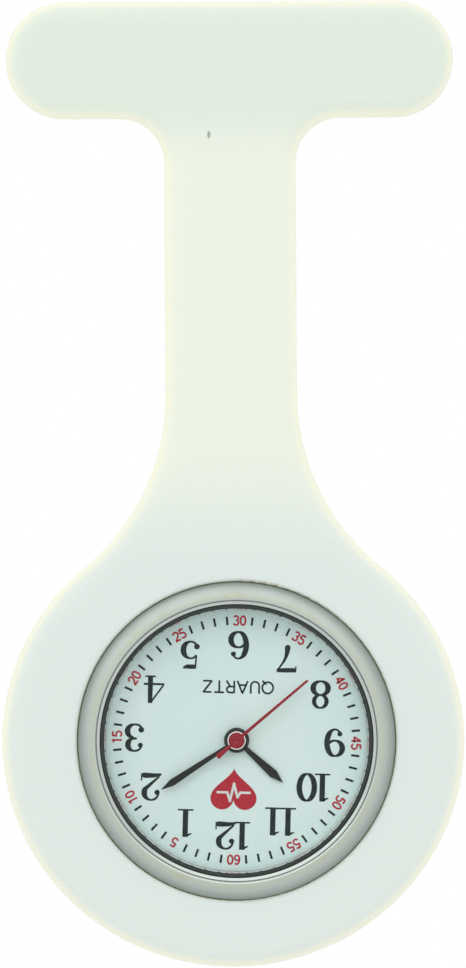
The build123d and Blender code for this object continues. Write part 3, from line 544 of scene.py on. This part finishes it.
nodeFinish = {
    "brooch_base": "steel", "hinge_rivet": "steel", "pin_stem": "steel", "catch_roller": "steel",
    "silicone_holder": "silicone", "case_body": "bezel", "crystal": "glass", "crystal_gasket": "gasket",
    "back_gasket": "gasket", "crown_gasket": "gasket", "dial_ring": "white", "dial": "dial",
    "movement_ring": "white", "back_cover": "cover", "crown_tube": "steel", "crown": "steel",
    "winding_stem": "steel", "clutch_wheel": "steel", "setting_lever": "steel", "clutch_yoke": "steel",
    "movement_screws": "steel", "battery": "can", "battery_clamp": "steel", "quartz_can": "gold",
    "main_plate": "plate", "train_bridge": "plate", "seconds_wheel": "brass", "third_wheel": "brass",
    "centre_wheel": "brass", "cannon_pinion": "steel", "minute_wheel": "brass", "hour_wheel": "brass",
    "dial_washer": "brass", "fifth_wheel": "ivory", "rotor": "magnet", "stator": "iron", "coil_core": "iron",
    "coil_winding": "coil", "circuit_board": "board", "circuit_chip": "resin",
    "hour_hand": "black", "minute_hand": "black", "second_hand": "red",
}
for name, node in nodes.items():
    node.data.materials.clear()
    node.data.materials.append(finishes[nodeFinish[name]])
print("finishes:", len(finishes))


# silicone holder

holder = merged("silicone_holder", "siliconeHolder", 40)
holderPiece = place("siliconeHolder", holder, finishes["silicone"], "holder", ["silicone_holder"])
evenNormals = holderPiece.modifiers.new("evenNormals", "WEIGHTED_NORMAL")
evenNormals.keep_sharp = True
evenNormals.weight = 80
print("silicone holder:", len(holder.polygons), "faces")


# turned parts of the watch head, as outlines of (radius, depth) in mm

# outlines are radius and depth from the dial's axis, in mm
bezel = {
    "crest": 12.95, "shoulder": 14.48,
    "front": bezelFront / mm, "shoulderDepth": -7.25, "edge": 0.05, "fullness": 0.8,
    "case": [
        (14.48, -6.5), (15.2, -6.5), (15.2, -0.45), (13.8, -0.45), (13.8, -0.85), (13.3, -0.85),
        (13.3, -0.45), (13.1, -0.45), (13.1, -6.55), (11.95, -6.55), (11.95, -6.8), (12.45, -6.8),
        (12.45, -7.86), (12.72, -7.97), (12.82, bezelFront / mm),
    ],
}


def bezelOutline():
    # the satin ring's face runs from its crest out and back to its shoulder, as a quarter turn t:
    # radius goes with sin t and depth with cos t to the power of its fullness; the case walls follow
    lean = np.linspace(0, pi / 2, 25)
    ring = np.stack([
        bezel["crest"] + (bezel["shoulder"] - bezel["crest"]) * np.sin(lean),
        bezel["shoulderDepth"]
        + (bezel["front"] - bezel["shoulderDepth"]) * np.cos(lean) ** bezel["fullness"],
    ], axis=-1)
    return np.concatenate([ring, rounded(bezel["case"], bezel["edge"])])


caseShell = turned("caseShell", bezelOutline(), 320)
place("caseShell", caseShell, finishes["bezel"], "case", ["case_body"])

# a low dome: depth = rim depth - rise * (1 - s * s), where s goes from 0 in the middle to 1 at the rim
crystal = {
    "rim": 11.9, "rimDepth": -7.85, "rise": 0.18,
    "edge": [(12.0, -7.81), (12.04, -7.74), (12.04, -6.8), (0, -6.8)],
}
share = np.linspace(0, 1, 24)[:, None]
domeDepth = crystal["rimDepth"] - crystal["rise"] * (1 - share ** 2)
crystalOutline = np.concatenate([crystal["rim"] * share, domeDepth], axis=1)
crystalOutline = np.concatenate([crystalOutline, crystal["edge"]])
watchGlass = turned("watchGlass", crystalOutline, 256)
place("watchGlass", watchGlass, finishes["glass"], "case", ["crystal"])

gasket = {
    "outline": [(12.05, -6.8), (12.45, -6.8), (12.45, -7.56), (12.38, -7.66), (12.05, -7.66)],
    "edge": 0.06,
}
gasketOutline = rounded(gasket["outline"], gasket["edge"])
place("glassGasket", turned("glassGasket", gasketOutline), finishes["gasket"], "case",
      ["crystal_gasket"])

slopingRing = {
    "outline": [(11.65, -4.93), (13.05, -4.93), (13.05, -6.52), (11.95, -6.52), (11.90, -6.44),
                (11.65, -5.15)],
    "edge": 0.03,
}
ringOutline = rounded(slopingRing["outline"], slopingRing["edge"])
place("innerRing", turned("innerRing", ringOutline), finishes["innerRing"], "case",
      ["dial_ring"])
print("watch head: bezel, crystal, gasket and inner ring turned")


# dial printing: strokes of ink, each a low strip carried along its line

inkHeight = 0.02  # mm
inkFoot = 0.002  # mm, how far a strip's underside stands off the dial
glyphWidth = 1.03
numeralShape = {"stem": 0.20, "hair": 0.066, "height": 2.56}
printTurn = radians(1.8)  # the dial sits slightly turned in the case


def arc(x, y, rx, ry, start, end, count=33):
    # part of an ellipse about x, y, from one angle to another in degrees
    turn = np.radians(np.linspace(start, end, count))
    return np.stack([x + rx * np.cos(turn), y + ry * np.sin(turn)], axis=-1)


def line(*corners):
    # straight runs, each split so that a width can swell along it
    corners = np.asarray(corners, float)
    share = np.linspace(0, 1, 9)[1:, None]
    runs = [a + (b - a) * share for a, b in zip(corners[:-1], corners[1:])]
    return np.concatenate([corners[:1], *runs])


def unique(path):
    # the path without points that repeat the one before
    gap = np.linalg.norm(np.diff(path, axis=0), axis=1)
    return path[np.concatenate([[True], gap > 1e-6])]


def pen(path, swellIn=0.0, swellOut=0.0, stem=None, hair=None):
    # pen width at each point: the hair width plus what the stem adds, by how upright the line runs there,
    # growing over the first share swellIn and dying over the last share swellOut
    path = unique(path)
    stem, hair = stem or numeralShape["stem"], hair or numeralShape["hair"]
    along = np.gradient(path, axis=0)
    upright = np.abs(along[:, 1]) / np.linalg.norm(along, axis=1)
    run = np.concatenate([[0], np.cumsum(np.linalg.norm(np.diff(path, axis=0), axis=1))])
    run = run / run[-1]
    grow = np.ones(len(path))
    if swellIn:
        grow = grow * np.clip(run / swellIn, 0, 1) ** 1.5
    if swellOut:
        grow = grow * np.clip((1 - run) / swellOut, 0, 1) ** 1.5
    return path, hair + (stem - hair) * upright ** 1.4 * grow


def tapered(path, widths):
    # a stroke whose width follows widths, evenly spaced along it
    path = unique(path)
    share = np.linspace(0, 1, len(path))
    return path, np.interp(share, np.linspace(0, 1, len(widths)), widths)


def dot(x, y, r):
    # a round blob, drawn as a strip across itself whose width is the circle's chord
    turn = np.linspace(0.03, pi - 0.03, 19)
    path = np.stack([x - r * np.cos(turn), np.full(19, float(y))], axis=-1)
    return path, 2 * r * np.sin(turn)


sixStrokes = [
    pen(np.concatenate([arc(0.02, 0.5, 0.27, 0.4725, 52, 262),
                        arc(0.02, 0.30, 0.262, 0.2725, -98, 60)]), 0.22),
    pen(arc(0.02, 0.30, 0.262, 0.2725, 58, 165), 0.0, 0.7),
    dot(0.185, 0.815, 0.088),
]


def halfTurned(strokes):
    # the same strokes turned upside down, so that a six becomes a nine
    return [(np.stack([-path[:, 0], 1 - path[:, 1]], axis=-1), width) for path, width in strokes]


serifNumerals = {
    "0": [pen(arc(0, 0.5, 0.26, 0.4725, 0, 360, 65))],
    "1": [
        tapered(line((0.02, 0.01), (0.02, 0.995)), [0.19, 0.19]),
        tapered(line((0.0, 0.955), (-0.20, 0.865)), [0.11, 0.035]),
        tapered(line((-0.25, 0.03), (0.29, 0.03)), [0.055, 0.06, 0.055]),
    ],
    "2": [
        pen(np.concatenate([arc(-0.005, 0.715, 0.245, 0.2575, 172, -28), line((0.20, 0.575), (-0.27, 0.13))]),
            0.42, 0.40),
        dot(-0.205, 0.70, 0.092),
        tapered(line((-0.34, 0.055), (-0.1, 0.10), (0.20, 0.10), (0.315, 0.09)), [0.07, 0.15, 0.19, 0.16]),
        tapered(line((0.335, 0.03), (0.345, 0.29)), [0.06, 0.045]),
    ],
    "3": [
        pen(np.concatenate([arc(-0.01, 0.75, 0.235, 0.2225, 160, -62), line((0.10, 0.55), (-0.08, 0.525))]),
            0.40, 0.22),
        pen(np.concatenate([line((-0.06, 0.525), (0.05, 0.515)), arc(-0.015, 0.27, 0.265, 0.2425, 72, -160)]),
            0.12, 0.38),
        dot(-0.205, 0.765, 0.088),
        dot(-0.225, 0.215, 0.100),
    ],
    "4": [
        tapered(line((0.12, 0.02), (0.12, 0.985)), [0.175, 0.175, 0.15]),
        tapered(line((0.10, 0.965), (-0.335, 0.335)), [0.065, 0.06]),
        tapered(line((-0.36, 0.305), (0.345, 0.305)), [0.075, 0.075]),
        tapered(line((-0.06, 0.03), (0.30, 0.03)), [0.055, 0.055]),
    ],
    "5": [
        tapered(line((-0.16, 0.92), (0.10, 0.915), (0.235, 0.965)), [0.16, 0.15, 0.06]),
        tapered(line((-0.185, 0.985), (-0.215, 0.50)), [0.06, 0.06]),
        pen(np.concatenate([line((-0.215, 0.50), (-0.17, 0.56)),
                            arc(-0.015, 0.325, 0.255, 0.2975, 120, -158)]), 0.34, 0.36),
        dot(-0.225, 0.20, 0.098),
    ],
    "6": sixStrokes,
    "7": [
        tapered(line((-0.30, 0.90), (0.32, 0.92)), [0.15, 0.16, 0.13]),
        tapered(line((-0.32, 0.985), (-0.335, 0.76)), [0.05, 0.045]),
        tapered(np.array([(0.325, 0.955), (0.20, 0.77), (0.09, 0.60), (0.02, 0.44), (-0.015, 0.30),
                          (-0.03, 0.18), (-0.035, 0.10), (-0.035, 0.04), (-0.035, 0.01)]),
                [0.06, 0.065, 0.085, 0.115, 0.15, 0.185, 0.20, 0.16, 0.06]),
    ],
    "8": [
        pen(arc(0, 0.742, 0.215, 0.2305, 0, 360, 49), stem=0.155),
        pen(arc(0, 0.272, 0.258, 0.2445, 0, 360, 49)),
    ],
    "9": halfTurned(sixStrokes),
}

plainGlyphs = {
    "0": [arc(0, 0.5, 0.24, 0.44, 0, 360, 33)],
    "1": [line((0.06, 0.0), (0.06, 1.0)), line((0.06, 0.96), (-0.16, 0.78))],
    "2": [np.concatenate([arc(0, 0.70, 0.24, 0.24, 170, -35, 17), line((0.17, 0.50), (-0.25, 0.06))]),
          line((-0.28, 0.06), (0.28, 0.06))],
    "3": [arc(-0.02, 0.74, 0.22, 0.205, 155, -85, 17), arc(-0.02, 0.29, 0.25, 0.24, 85, -158, 21)],
    "4": [line((0.12, 0.0), (0.12, 0.97), (-0.27, 0.30), (0.28, 0.30))],
    "5": [line((0.23, 0.94), (-0.17, 0.94), (-0.22, 0.53)), arc(-0.01, 0.32, 0.25, 0.27, 128, -155, 21)],
    "6": [arc(0.02, 0.50, 0.25, 0.44, 48, 200, 17), arc(0, 0.30, 0.235, 0.245, 0, 360, 27)],
    "Q": [arc(0, 0.5, 0.42, 0.455, 0, 360, 41), line((0.12, 0.24), (0.42, -0.06))],
    "U": [np.concatenate([line((-0.32, 1.0), (-0.32, 0.37)), arc(0, 0.37, 0.32, 0.33, 180, 360, 21),
                          line((0.32, 0.37), (0.32, 1.0))])],
    "A": [line((-0.40, 0.0), (0, 1.0), (0.40, 0.0)), line((-0.27, 0.33), (0.27, 0.33))],
    "R": [line((-0.28, 0.0), (-0.28, 0.99)),
          np.concatenate([line((-0.28, 0.945), (0.07, 0.945)), arc(0.07, 0.71, 0.22, 0.235, 90, -90, 15),
                          line((0.07, 0.475), (-0.28, 0.475))]),
          line((0.02, 0.475), (0.33, 0.0))],
    "T": [line((-0.37, 0.945), (0.37, 0.945)), line((0, 0.945), (0, 0.0))],
    "Z": [line((-0.31, 0.945), (0.33, 0.945), (-0.33, 0.055), (0.35, 0.055))],
    "B": [line((-0.27, 0.0), (-0.27, 1.0)),
          np.concatenate([line((-0.27, 0.945), (0.05, 0.945)), arc(0.05, 0.735, 0.19, 0.21, 90, -90, 15),
                          line((0.05, 0.525), (-0.27, 0.525))]),
          np.concatenate([line((-0.05, 0.525), (0.08, 0.525)), arc(0.08, 0.29, 0.22, 0.235, 90, -90, 15),
                          line((0.08, 0.055), (-0.27, 0.055))])],
    "C": [arc(0.04, 0.5, 0.36, 0.445, 50, 310, 33)],
    "E": [line((-0.25, 0.0), (-0.25, 1.0)), line((-0.25, 0.945), (0.27, 0.945)),
          line((-0.25, 0.51), (0.20, 0.51)), line((-0.25, 0.055), (0.28, 0.055))],
    "I": [line((0.0, 0.0), (0.0, 1.0))],
    "K": [line((-0.27, 0.0), (-0.27, 1.0)), line((0.27, 1.0), (-0.25, 0.42)),
          line((-0.08, 0.60), (0.31, 0.0))],
    "L": [line((-0.22, 1.0), (-0.22, 0.055), (0.28, 0.055))],
    "N": [line((-0.32, 0.0), (-0.32, 1.0)), line((-0.32, 0.97), (0.32, 0.03)),
          line((0.32, 0.0), (0.32, 1.0))],
    "S": [np.concatenate([arc(0.0, 0.735, 0.24, 0.215, 40, 262, 21),
                          arc(0.0, 0.275, 0.26, 0.23, 82, -142, 21)])],
    "W": [line((-0.46, 1.0), (-0.22, 0.02), (0.0, 0.93), (0.22, 0.02), (0.46, 1.0))],
}


class InkSheet:
    # the strokes of one colour of ink, gathered into one mesh on the dial
    def __init__(self, height=inkHeight):
        self.points, self.faces, self.count, self.layers, self.height = [], [], 0, 0, height

    def stroke(self, path, width):
        # a strip with a flat top: left and right of each point by half the width, at the dial and above it
        path, width = np.asarray(path, float), np.asarray(width, float)
        closed = np.linalg.norm(path[0] - path[-1]) < 1e-6
        along = np.gradient(path, axis=0)
        if closed:
            along[0] = along[-1] = path[1] - path[-2]
        along = along / np.linalg.norm(along, axis=1)[:, None]
        side = np.stack([-along[:, 1], along[:, 0]], axis=-1) * width[:, None] / 2
        top = self.height + 0.0012 * (self.layers % 8)  # so that crossing strokes never share a surface
        self.layers += 1
        ring = [(path + side, inkFoot), (path + side, top), (path - side, top), (path - side, inkFoot)]
        lifted = [np.concatenate([flat, np.full((len(path), 1), lift)], axis=1) for flat, lift in ring]
        block = np.stack(lifted, axis=1).reshape(-1, 3)
        rows = len(path)
        faces = gridFaces(rows, 4)
        caps = np.array([[0, 1, 2, 3], [4 * rows - 1, 4 * rows - 2, 4 * rows - 3, 4 * rows - 4]])
        self.points.append(block)
        self.faces.append(np.concatenate([faces, caps]) + self.count)
        self.count += len(block)

    def glyph(self, strokes, x, y, height, turn=0.0, nib=None):
        # strokes drawn about their middle, turned clockwise, then moved to x, y
        # nib is the width of the plain ones
        for stroke in strokes:
            path, width = stroke if nib is None else (unique(stroke), None)
            width = np.full(len(path), nib) if width is None else width * height
            local = (path - [0, 0.5]) * [height * glyphWidth, height]
            c, s = cos(turn), sin(turn)
            moved = np.stack([local[:, 0] * c + local[:, 1] * s, local[:, 1] * c - local[:, 0] * s], axis=-1)
            self.stroke(moved + [x, y], width)

    def mesh(self, name):
        return meshOf(name, onDial(np.concatenate(self.points)), [np.concatenate(self.faces)], 30)


def onDial(flat):
    # x, y and height above the dial in mm, as the wearer sees them, turned with the dial and put in the frame
    c, s = cos(printTurn), sin(printTurn)
    across, up = flat[:, 0] * c + flat[:, 1] * s, flat[:, 1] * c - flat[:, 0] * s
    return np.stack([-across * mm, dialFace - flat[:, 2] * mm, dialHeight - up * mm], axis=-1)


numerals = {
    "ring": 8.85,  # mm from the centre to a numeral's middle
    "own": {3: 9.3, 6: 8.65, 7: 8.7, 8: 8.7, 9: 8.9, 10: 8.25, 11: 8.45, 12: 8.7},
    "spread": {10: (-0.32, 0.25), 11: (-0.27, 0.27), 12: (-0.30, 0.30)},  # share of the height
}
blackSheet = InkSheet()
for hour in range(1, 13):
    reach = numerals["own"].get(hour, numerals["ring"])
    x, y = reach * sin(radians(30 * hour)), reach * cos(radians(30 * hour))
    for digit, shift in zip(str(hour), numerals["spread"].get(hour, (0,))):
        blackSheet.glyph(serifNumerals[digit], x + shift * numeralShape["height"], y, numeralShape["height"])

minuteTrack = {"inner": 10.52, "outer": 11.28, "tick": 0.20, "digits": 10.90, "height": 0.90, "nib": 0.16,
               "pitch": 0.62}
for minute in range(60):
    if minute % 5:
        turn = radians(6 * minute)
        reaches = (minuteTrack["inner"], minuteTrack["outer"])
        ends = np.array([[r * sin(turn), r * cos(turn)] for r in reaches])
        blackSheet.stroke(ends, [minuteTrack["tick"]] * 2)

word = {"text": "QUARTZ", "height": 1.14, "nib": 0.165, "below": 4.84, "spacing": 1.06,
        "advance": {"Q": 0.99, "U": 0.93, "A": 0.95, "R": 0.85, "T": 0.86, "Z": 0.90}}
wordWidth = sum(word["advance"][letter] for letter in word["text"]) * word["height"] * word["spacing"]
cursor = -wordWidth / 2
for letter in word["text"]:
    advance = word["advance"][letter] * word["height"] * word["spacing"]
    blackSheet.glyph(plainGlyphs[letter], cursor + advance / 2, -word["below"], word["height"], nib=word["nib"])
    cursor += advance
place("blackPrinting", blackSheet.mesh("blackPrinting"), finishes["blackInk"], "case")

redSheet = InkSheet()
for minute in range(5, 61, 5):
    turn = radians(6 * minute)
    text = str(minute)
    for rank, digit in enumerate(text):
        offset = (rank - (len(text) - 1) / 2) * minuteTrack["pitch"]
        x = minuteTrack["digits"] * sin(turn) + offset * cos(turn)
        y = minuteTrack["digits"] * cos(turn) - offset * sin(turn)
        redSheet.glyph(plainGlyphs[digit], x, y, minuteTrack["height"], turn, minuteTrack["nib"])
place("redPrinting", redSheet.mesh("redPrinting"), finishes["redInk"], "case")

emblem = {"across": 0.15, "above": 4.45, "width": 4.2, "pulse": 0.27}


def heartMesh():
    # the heart line x = 16 sin^3 t, y = 13 cos t - 5 cos 2t - 2 cos 3t - cos 4t, filled from its middle
    count = 96
    t = np.linspace(0, 2 * pi, count, endpoint=False)
    x = 16 * np.sin(t) ** 3
    y = 13 * np.cos(t) - 5 * np.cos(2 * t) - 2 * np.cos(3 * t) - np.cos(4 * t)
    scale = emblem["width"] / 32
    rim = np.stack([x * scale + emblem["across"], (y + 2.5) * scale + emblem["above"]], axis=-1)
    middle = np.array([[emblem["across"], emblem["above"] + 2.5 * scale]])
    flat = np.concatenate([rim, rim, middle, middle])
    lift = np.concatenate([np.full(count, inkHeight), np.full(count, inkFoot), [inkHeight], [inkFoot]])
    i = np.arange(count)
    j = (i + 1) % count
    topFaces = np.stack([i, j, np.full(count, 2 * count)], -1)
    footFaces = np.stack([count + j, count + i, np.full(count, 2 * count + 1)], -1)
    faces = [topFaces, footFaces]
    sides = np.stack([j, i, count + i, count + j], -1)
    points = onDial(np.concatenate([flat, lift[:, None]], axis=1))
    return meshOf("heart", points, [np.concatenate(faces), sides], 30)


place("heart", heartMesh(), finishes["redInk"], "case")
pulseSheet = InkSheet(inkHeight * 1.4)
pulse = np.array([(-1.45, 0), (-0.62, 0), (-0.36, 0.42), (-0.02, -0.80), (0.32, 0.78), (0.58, 0), (1.45, 0)])
pulse = pulse + [emblem["across"], emblem["above"] + 0.32]
for start, end in zip(pulse[:-1], pulse[1:]):
    lean = (end - start) / np.linalg.norm(end - start) * emblem["pulse"] * 0.35
    pulseSheet.stroke(np.array([start - lean, end + lean]), [emblem["pulse"] * 0.8] * 2)
place("pulseLine", pulseSheet.mesh("pulseLine"), finishes["paleInk"], "case")
print("dial printing:", blackSheet.layers + redSheet.layers, "strokes")


# hands

hands = {
    "hour_hand": {"body": "hours", "back": -5.15, "front": -5.27, "hub": 1.15, "hubBack": -5.07,
                  "hubFront": -5.32, "bore": 0.80, "outline": [(0.2, 0.16), (4.55, 0.40), (5.70, 0.02)],
                  "finish": "black"},
    "minute_hand": {"body": "minutes", "back": -5.65, "front": -5.77, "hub": 1.05, "hubBack": -5.57,
                    "hubFront": -5.82, "bore": 0.57, "outline": [(0.2, 0.15), (7.05, 0.32), (8.20, 0.02)],
                    "finish": "black"},
    "second_hand": {"body": "seconds", "back": -6.08, "front": -6.18, "hub": 0.73, "hubBack": -6.02,
                    "hubFront": -6.28, "bore": 0.0,
                    "outline": [(-2.33, 0.26), (-0.85, 0.16), (0.8, 0.15), (8.48, 0.11)], "finish": "red"},
}
handBevel = 0.05  # mm
slotOfInk = {"black": "black_paint", "red": "red_paint"}


def pointing(node):
    # the direction a hand points in, in X and Z, from its box's corner farthest from the dial's centre
    low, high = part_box(node)
    x = low.x if abs(low.x) > abs(high.x) else high.x
    below, above = low.z - dialHeight, high.z - dialHeight
    z = below if abs(below) > abs(above) else above
    return np.array([x, z]) / hypot(x, z)


def bladeMesh(name, shape, direction):
    # a low roof carried along the hand: half width from the outline, edges bevelled towards the front
    distance, half = np.array(shape["outline"]).T
    along = np.unique(np.concatenate([np.linspace(distance[0], distance[-1], 40), distance]))
    half = np.interp(along, distance, half)
    bevel = np.minimum(handBevel, half * 0.6)
    front, back = shape["front"], shape["back"]
    section = [(half, back), (half, front + bevel * 0.6), (half - bevel, front), (bevel - half, front),
               (-half, front + bevel * 0.6), (-half, back)]
    side = np.array([-direction[1], direction[0]])
    points = []
    for across, depth in section:
        flat = along[:, None] * direction + across[:, None] * side
        points.append(np.stack([flat[:, 0], np.broadcast_to(depth, along.shape), flat[:, 1]], axis=-1))
    points = np.stack(points, axis=1).reshape(-1, 3) * mm
    points[:, 2] += dialHeight
    rows = len(along)
    caps = np.array([[5, 4, 1, 0], [4, 3, 2, 1]])
    ends = np.concatenate([caps, (rows * 6 - 6) + caps[:, ::-1]])
    return meshOf(name, points, [gridFaces(rows, 6), ends], 20)


for node, shape in hands.items():
    name = node.replace("_hand", "Hand")
    finish, slot = finishes[shape["finish"]], slotOfInk[shape["finish"]]
    place(name, bladeMesh(name, shape, pointing(node)), finish, shape["body"], [node])
    hub, bore = shape["hub"], shape["bore"]
    hubOutline = rounded([(bore, shape["hubBack"]), (hub, shape["hubBack"]), (hub, shape["hubFront"]),
                          (bore, shape["hubFront"])], 0.09)
    if not bore:
        # the button that closes the arbor, with a shallow dimple
        hubOutline = np.array([
            (0, shape["hubBack"]), (hub, shape["hubBack"]), (hub, -6.20), (hub - 0.03, -6.25),
            (hub - 0.10, shape["hubFront"]), (0.20, shape["hubFront"]), (0.15, -6.25), (0, -6.24)])
    place(name + "Hub", turned(name + "Hub", hubOutline, 96), finish, shape["body"])
hubRim = {"outline": [(0.725, -6.04), (0.84, -6.04), (0.84, -6.16), (0.725, -6.16)], "edge": 0.03}
rimOutline = rounded(hubRim["outline"], hubRim["edge"])
place("secondHandRim", turned("secondHandRim", rimOutline, 96), finishes["hub"], "seconds")
print("hands:", len(hands))


# back cover

cover = {
    "radius": 14.2, "rear": 0.1, "inside": -0.42, "lip": -1.2, "edge": 0.12, "grooveDepth": 0.08,
    "notchAngle": -55, "notchWidth": 4.6, "notchDepth": 0.65,
}


def coverMesh():
    # the cover's outline turned about the dial axis, its rim drawn in by a smooth notch:
    # r = rim radius - depth * (1 + cos(pi t)) / 2, where t goes from -1 to 1 across the notch
    rear, inside, lip = cover["rear"], cover["inside"], cover["lip"]
    groove = rear - cover["grooveDepth"]
    rim = rounded([(9.6, rear), (9.75, groove), (11.3, groove), (11.45, rear), (cover["radius"], rear),
                   (cover["radius"], inside), (12.95, inside), (12.95, lip), (12.6, lip), (12.6, inside)],
                  cover["edge"])
    outline = np.concatenate([[(0, rear), (9.6, rear)], rim[5:], [(0, inside)]])
    segments = 360
    turn = np.linspace(0, 2 * pi, segments, endpoint=False)
    away = (np.degrees(turn) - cover["notchAngle"] + 180) % 360 - 180
    notch = np.where(np.abs(away) < cover["notchWidth"], (1 + np.cos(pi * away / cover["notchWidth"])) / 2, 0)
    radius, depth = outline[:, :1], outline[:, 1:]
    drawn = np.clip((radius - 13.2) / 0.8, 0, 1) * (depth > -0.25)
    radius = radius - cover["notchDepth"] * notch[None, :] * drawn
    depth = np.broadcast_to(depth, radius.shape)
    points = np.stack([radius * np.cos(turn), depth, radius * np.sin(turn)], axis=-1)
    points = points.reshape(-1, 3) * mm
    points[:, 2] += dialHeight
    return weldPoles(meshOf("backCover", points, [gridFaces(len(outline), segments, closeRows=True)], 30))


place("backCover", coverMesh(), finishes["cover"], "cover", ["back_cover"])


# words cut into the cover's groove, as fine dark lines that follow its circle
engraving = {
    "text": "STAINLESS STEEL BACK   WATER RESISTANT   QUARTZ   ",
    "radius": 10.52, "height": 0.92, "nib": 0.11, "flatten": 0.5,
}


def engravingMesh():
    sheet = InkSheet()
    letters = engraving["text"]
    for k, letter in enumerate(letters):
        if letter != " ":
            turn = 2 * pi * k / len(letters)
            x, y = engraving["radius"] * sin(turn), engraving["radius"] * cos(turn)
            sheet.glyph(plainGlyphs[letter], x, y, engraving["height"], turn, engraving["nib"])
    flat = np.concatenate(sheet.points)
    depth = (cover["rear"] - cover["grooveDepth"] + flat[:, 2] * engraving["flatten"]) * mm
    points = np.stack([-flat[:, 0] * mm, depth, dialHeight + flat[:, 1] * mm], axis=-1)
    return meshOf("coverEngraving", points, [np.concatenate(sheet.faces)], 30)


place("coverEngraving", engravingMesh(), finishes["etch"], "cover")


# the rest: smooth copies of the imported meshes

copied = 0
for node in sorted(nodes):
    if nodes[node].hide_render:
        continue
    words = node.split("_")
    name = words[0] + "".join(word.capitalize() for word in words[1:]) + "Smooth"
    finish = nodeFinish[node]
    place(name, merged(node, name), finishes[finish], nodes[node]["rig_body"], [node])
    copied += 1
print("smooth copies:", copied)


# studio

studio = {"floorDrop": 90 * mm, "floorRadius": 75 * mm, "around": 0.90, "backdrop": 1.0, "sensor": 36}
floorLow = cadBox[0][2] - studio["floorDrop"]
bpy.ops.mesh.primitive_circle_add(
    vertices=96, radius=studio["floorRadius"], fill_type="NGON", location=(0, 0, floorLow))
floor = bpy.context.object
floor.name = "floor"
floorPaint = Finish("palePaper")
floorTint = floorPaint.blend(floorPaint.noise(40, 3), rgb(0.86, 0.87, 0.86), rgb(0.89, 0.89, 0.88))
floor.data.materials.append(floorPaint.done(Base_Color=floorTint, Roughness=0.8))

world = bpy.data.worlds.new("studio")
bpy.context.scene.world = world
world.use_nodes = True
surround = world.node_tree.nodes["Background"]
surround.inputs["Color"].default_value = (1.0, 1.0, 1.0, 1.0)
seen = world.node_tree.nodes.new("ShaderNodeLightPath")
level = world.node_tree.nodes.new("ShaderNodeMapRange")
level.inputs["To Min"].default_value = studio["around"]  # light from around
level.inputs["To Max"].default_value = studio["backdrop"]  # as the camera sees it
world.node_tree.links.new(seen.outputs["Is Camera Ray"], level.inputs["Value"])
world.node_tree.links.new(level.outputs["Result"], surround.inputs["Strength"])


def softLamp(name, spot, aim, size, power, tint=(1, 1, 1)):
    lamp = bpy.data.lights.new(name, "AREA")
    lamp.shape = "RECTANGLE"
    lamp.size, lamp.size_y = size
    lamp.energy = power
    lamp.color = tint
    lampObject = bpy.data.objects.new(name, lamp)
    bpy.context.scene.collection.objects.link(lampObject)
    lampObject.location = spot
    lampObject.rotation_euler = (Vector(aim) - Vector(spot)).to_track_quat("-Z", "Y").to_euler()


middle = Vector((0, 0, (cadBox[0][2] + cadBox[1][2]) / 2))
softLamp("frontSoftbox", (-0.10, -0.55, 0.30), middle, (0.8, 0.6), 0.7)

camera = {"lens": 325, "height": 88.46 * mm, "roll": 0.34, "x": -0.19, "z": 0.0}
view = bpy.data.cameras.new("camera")
view.lens = camera["lens"]
view.sensor_width = studio["sensor"]
view.clip_start, view.clip_end = 0.01, 10
eye = bpy.data.objects.new("camera", view)
bpy.context.scene.collection.objects.link(eye)
distance = camera["height"] / studio["sensor"] * camera["lens"]
eye.location = (camera["x"] * mm, bezelFront + 4 * mm - distance, middle.z + camera["z"] * mm)
eye.rotation_euler = (pi / 2, radians(camera["roll"]), 0)
bpy.context.scene.camera = eye
bpy.context.scene.view_settings.view_transform = "Standard"

print("studio ready")
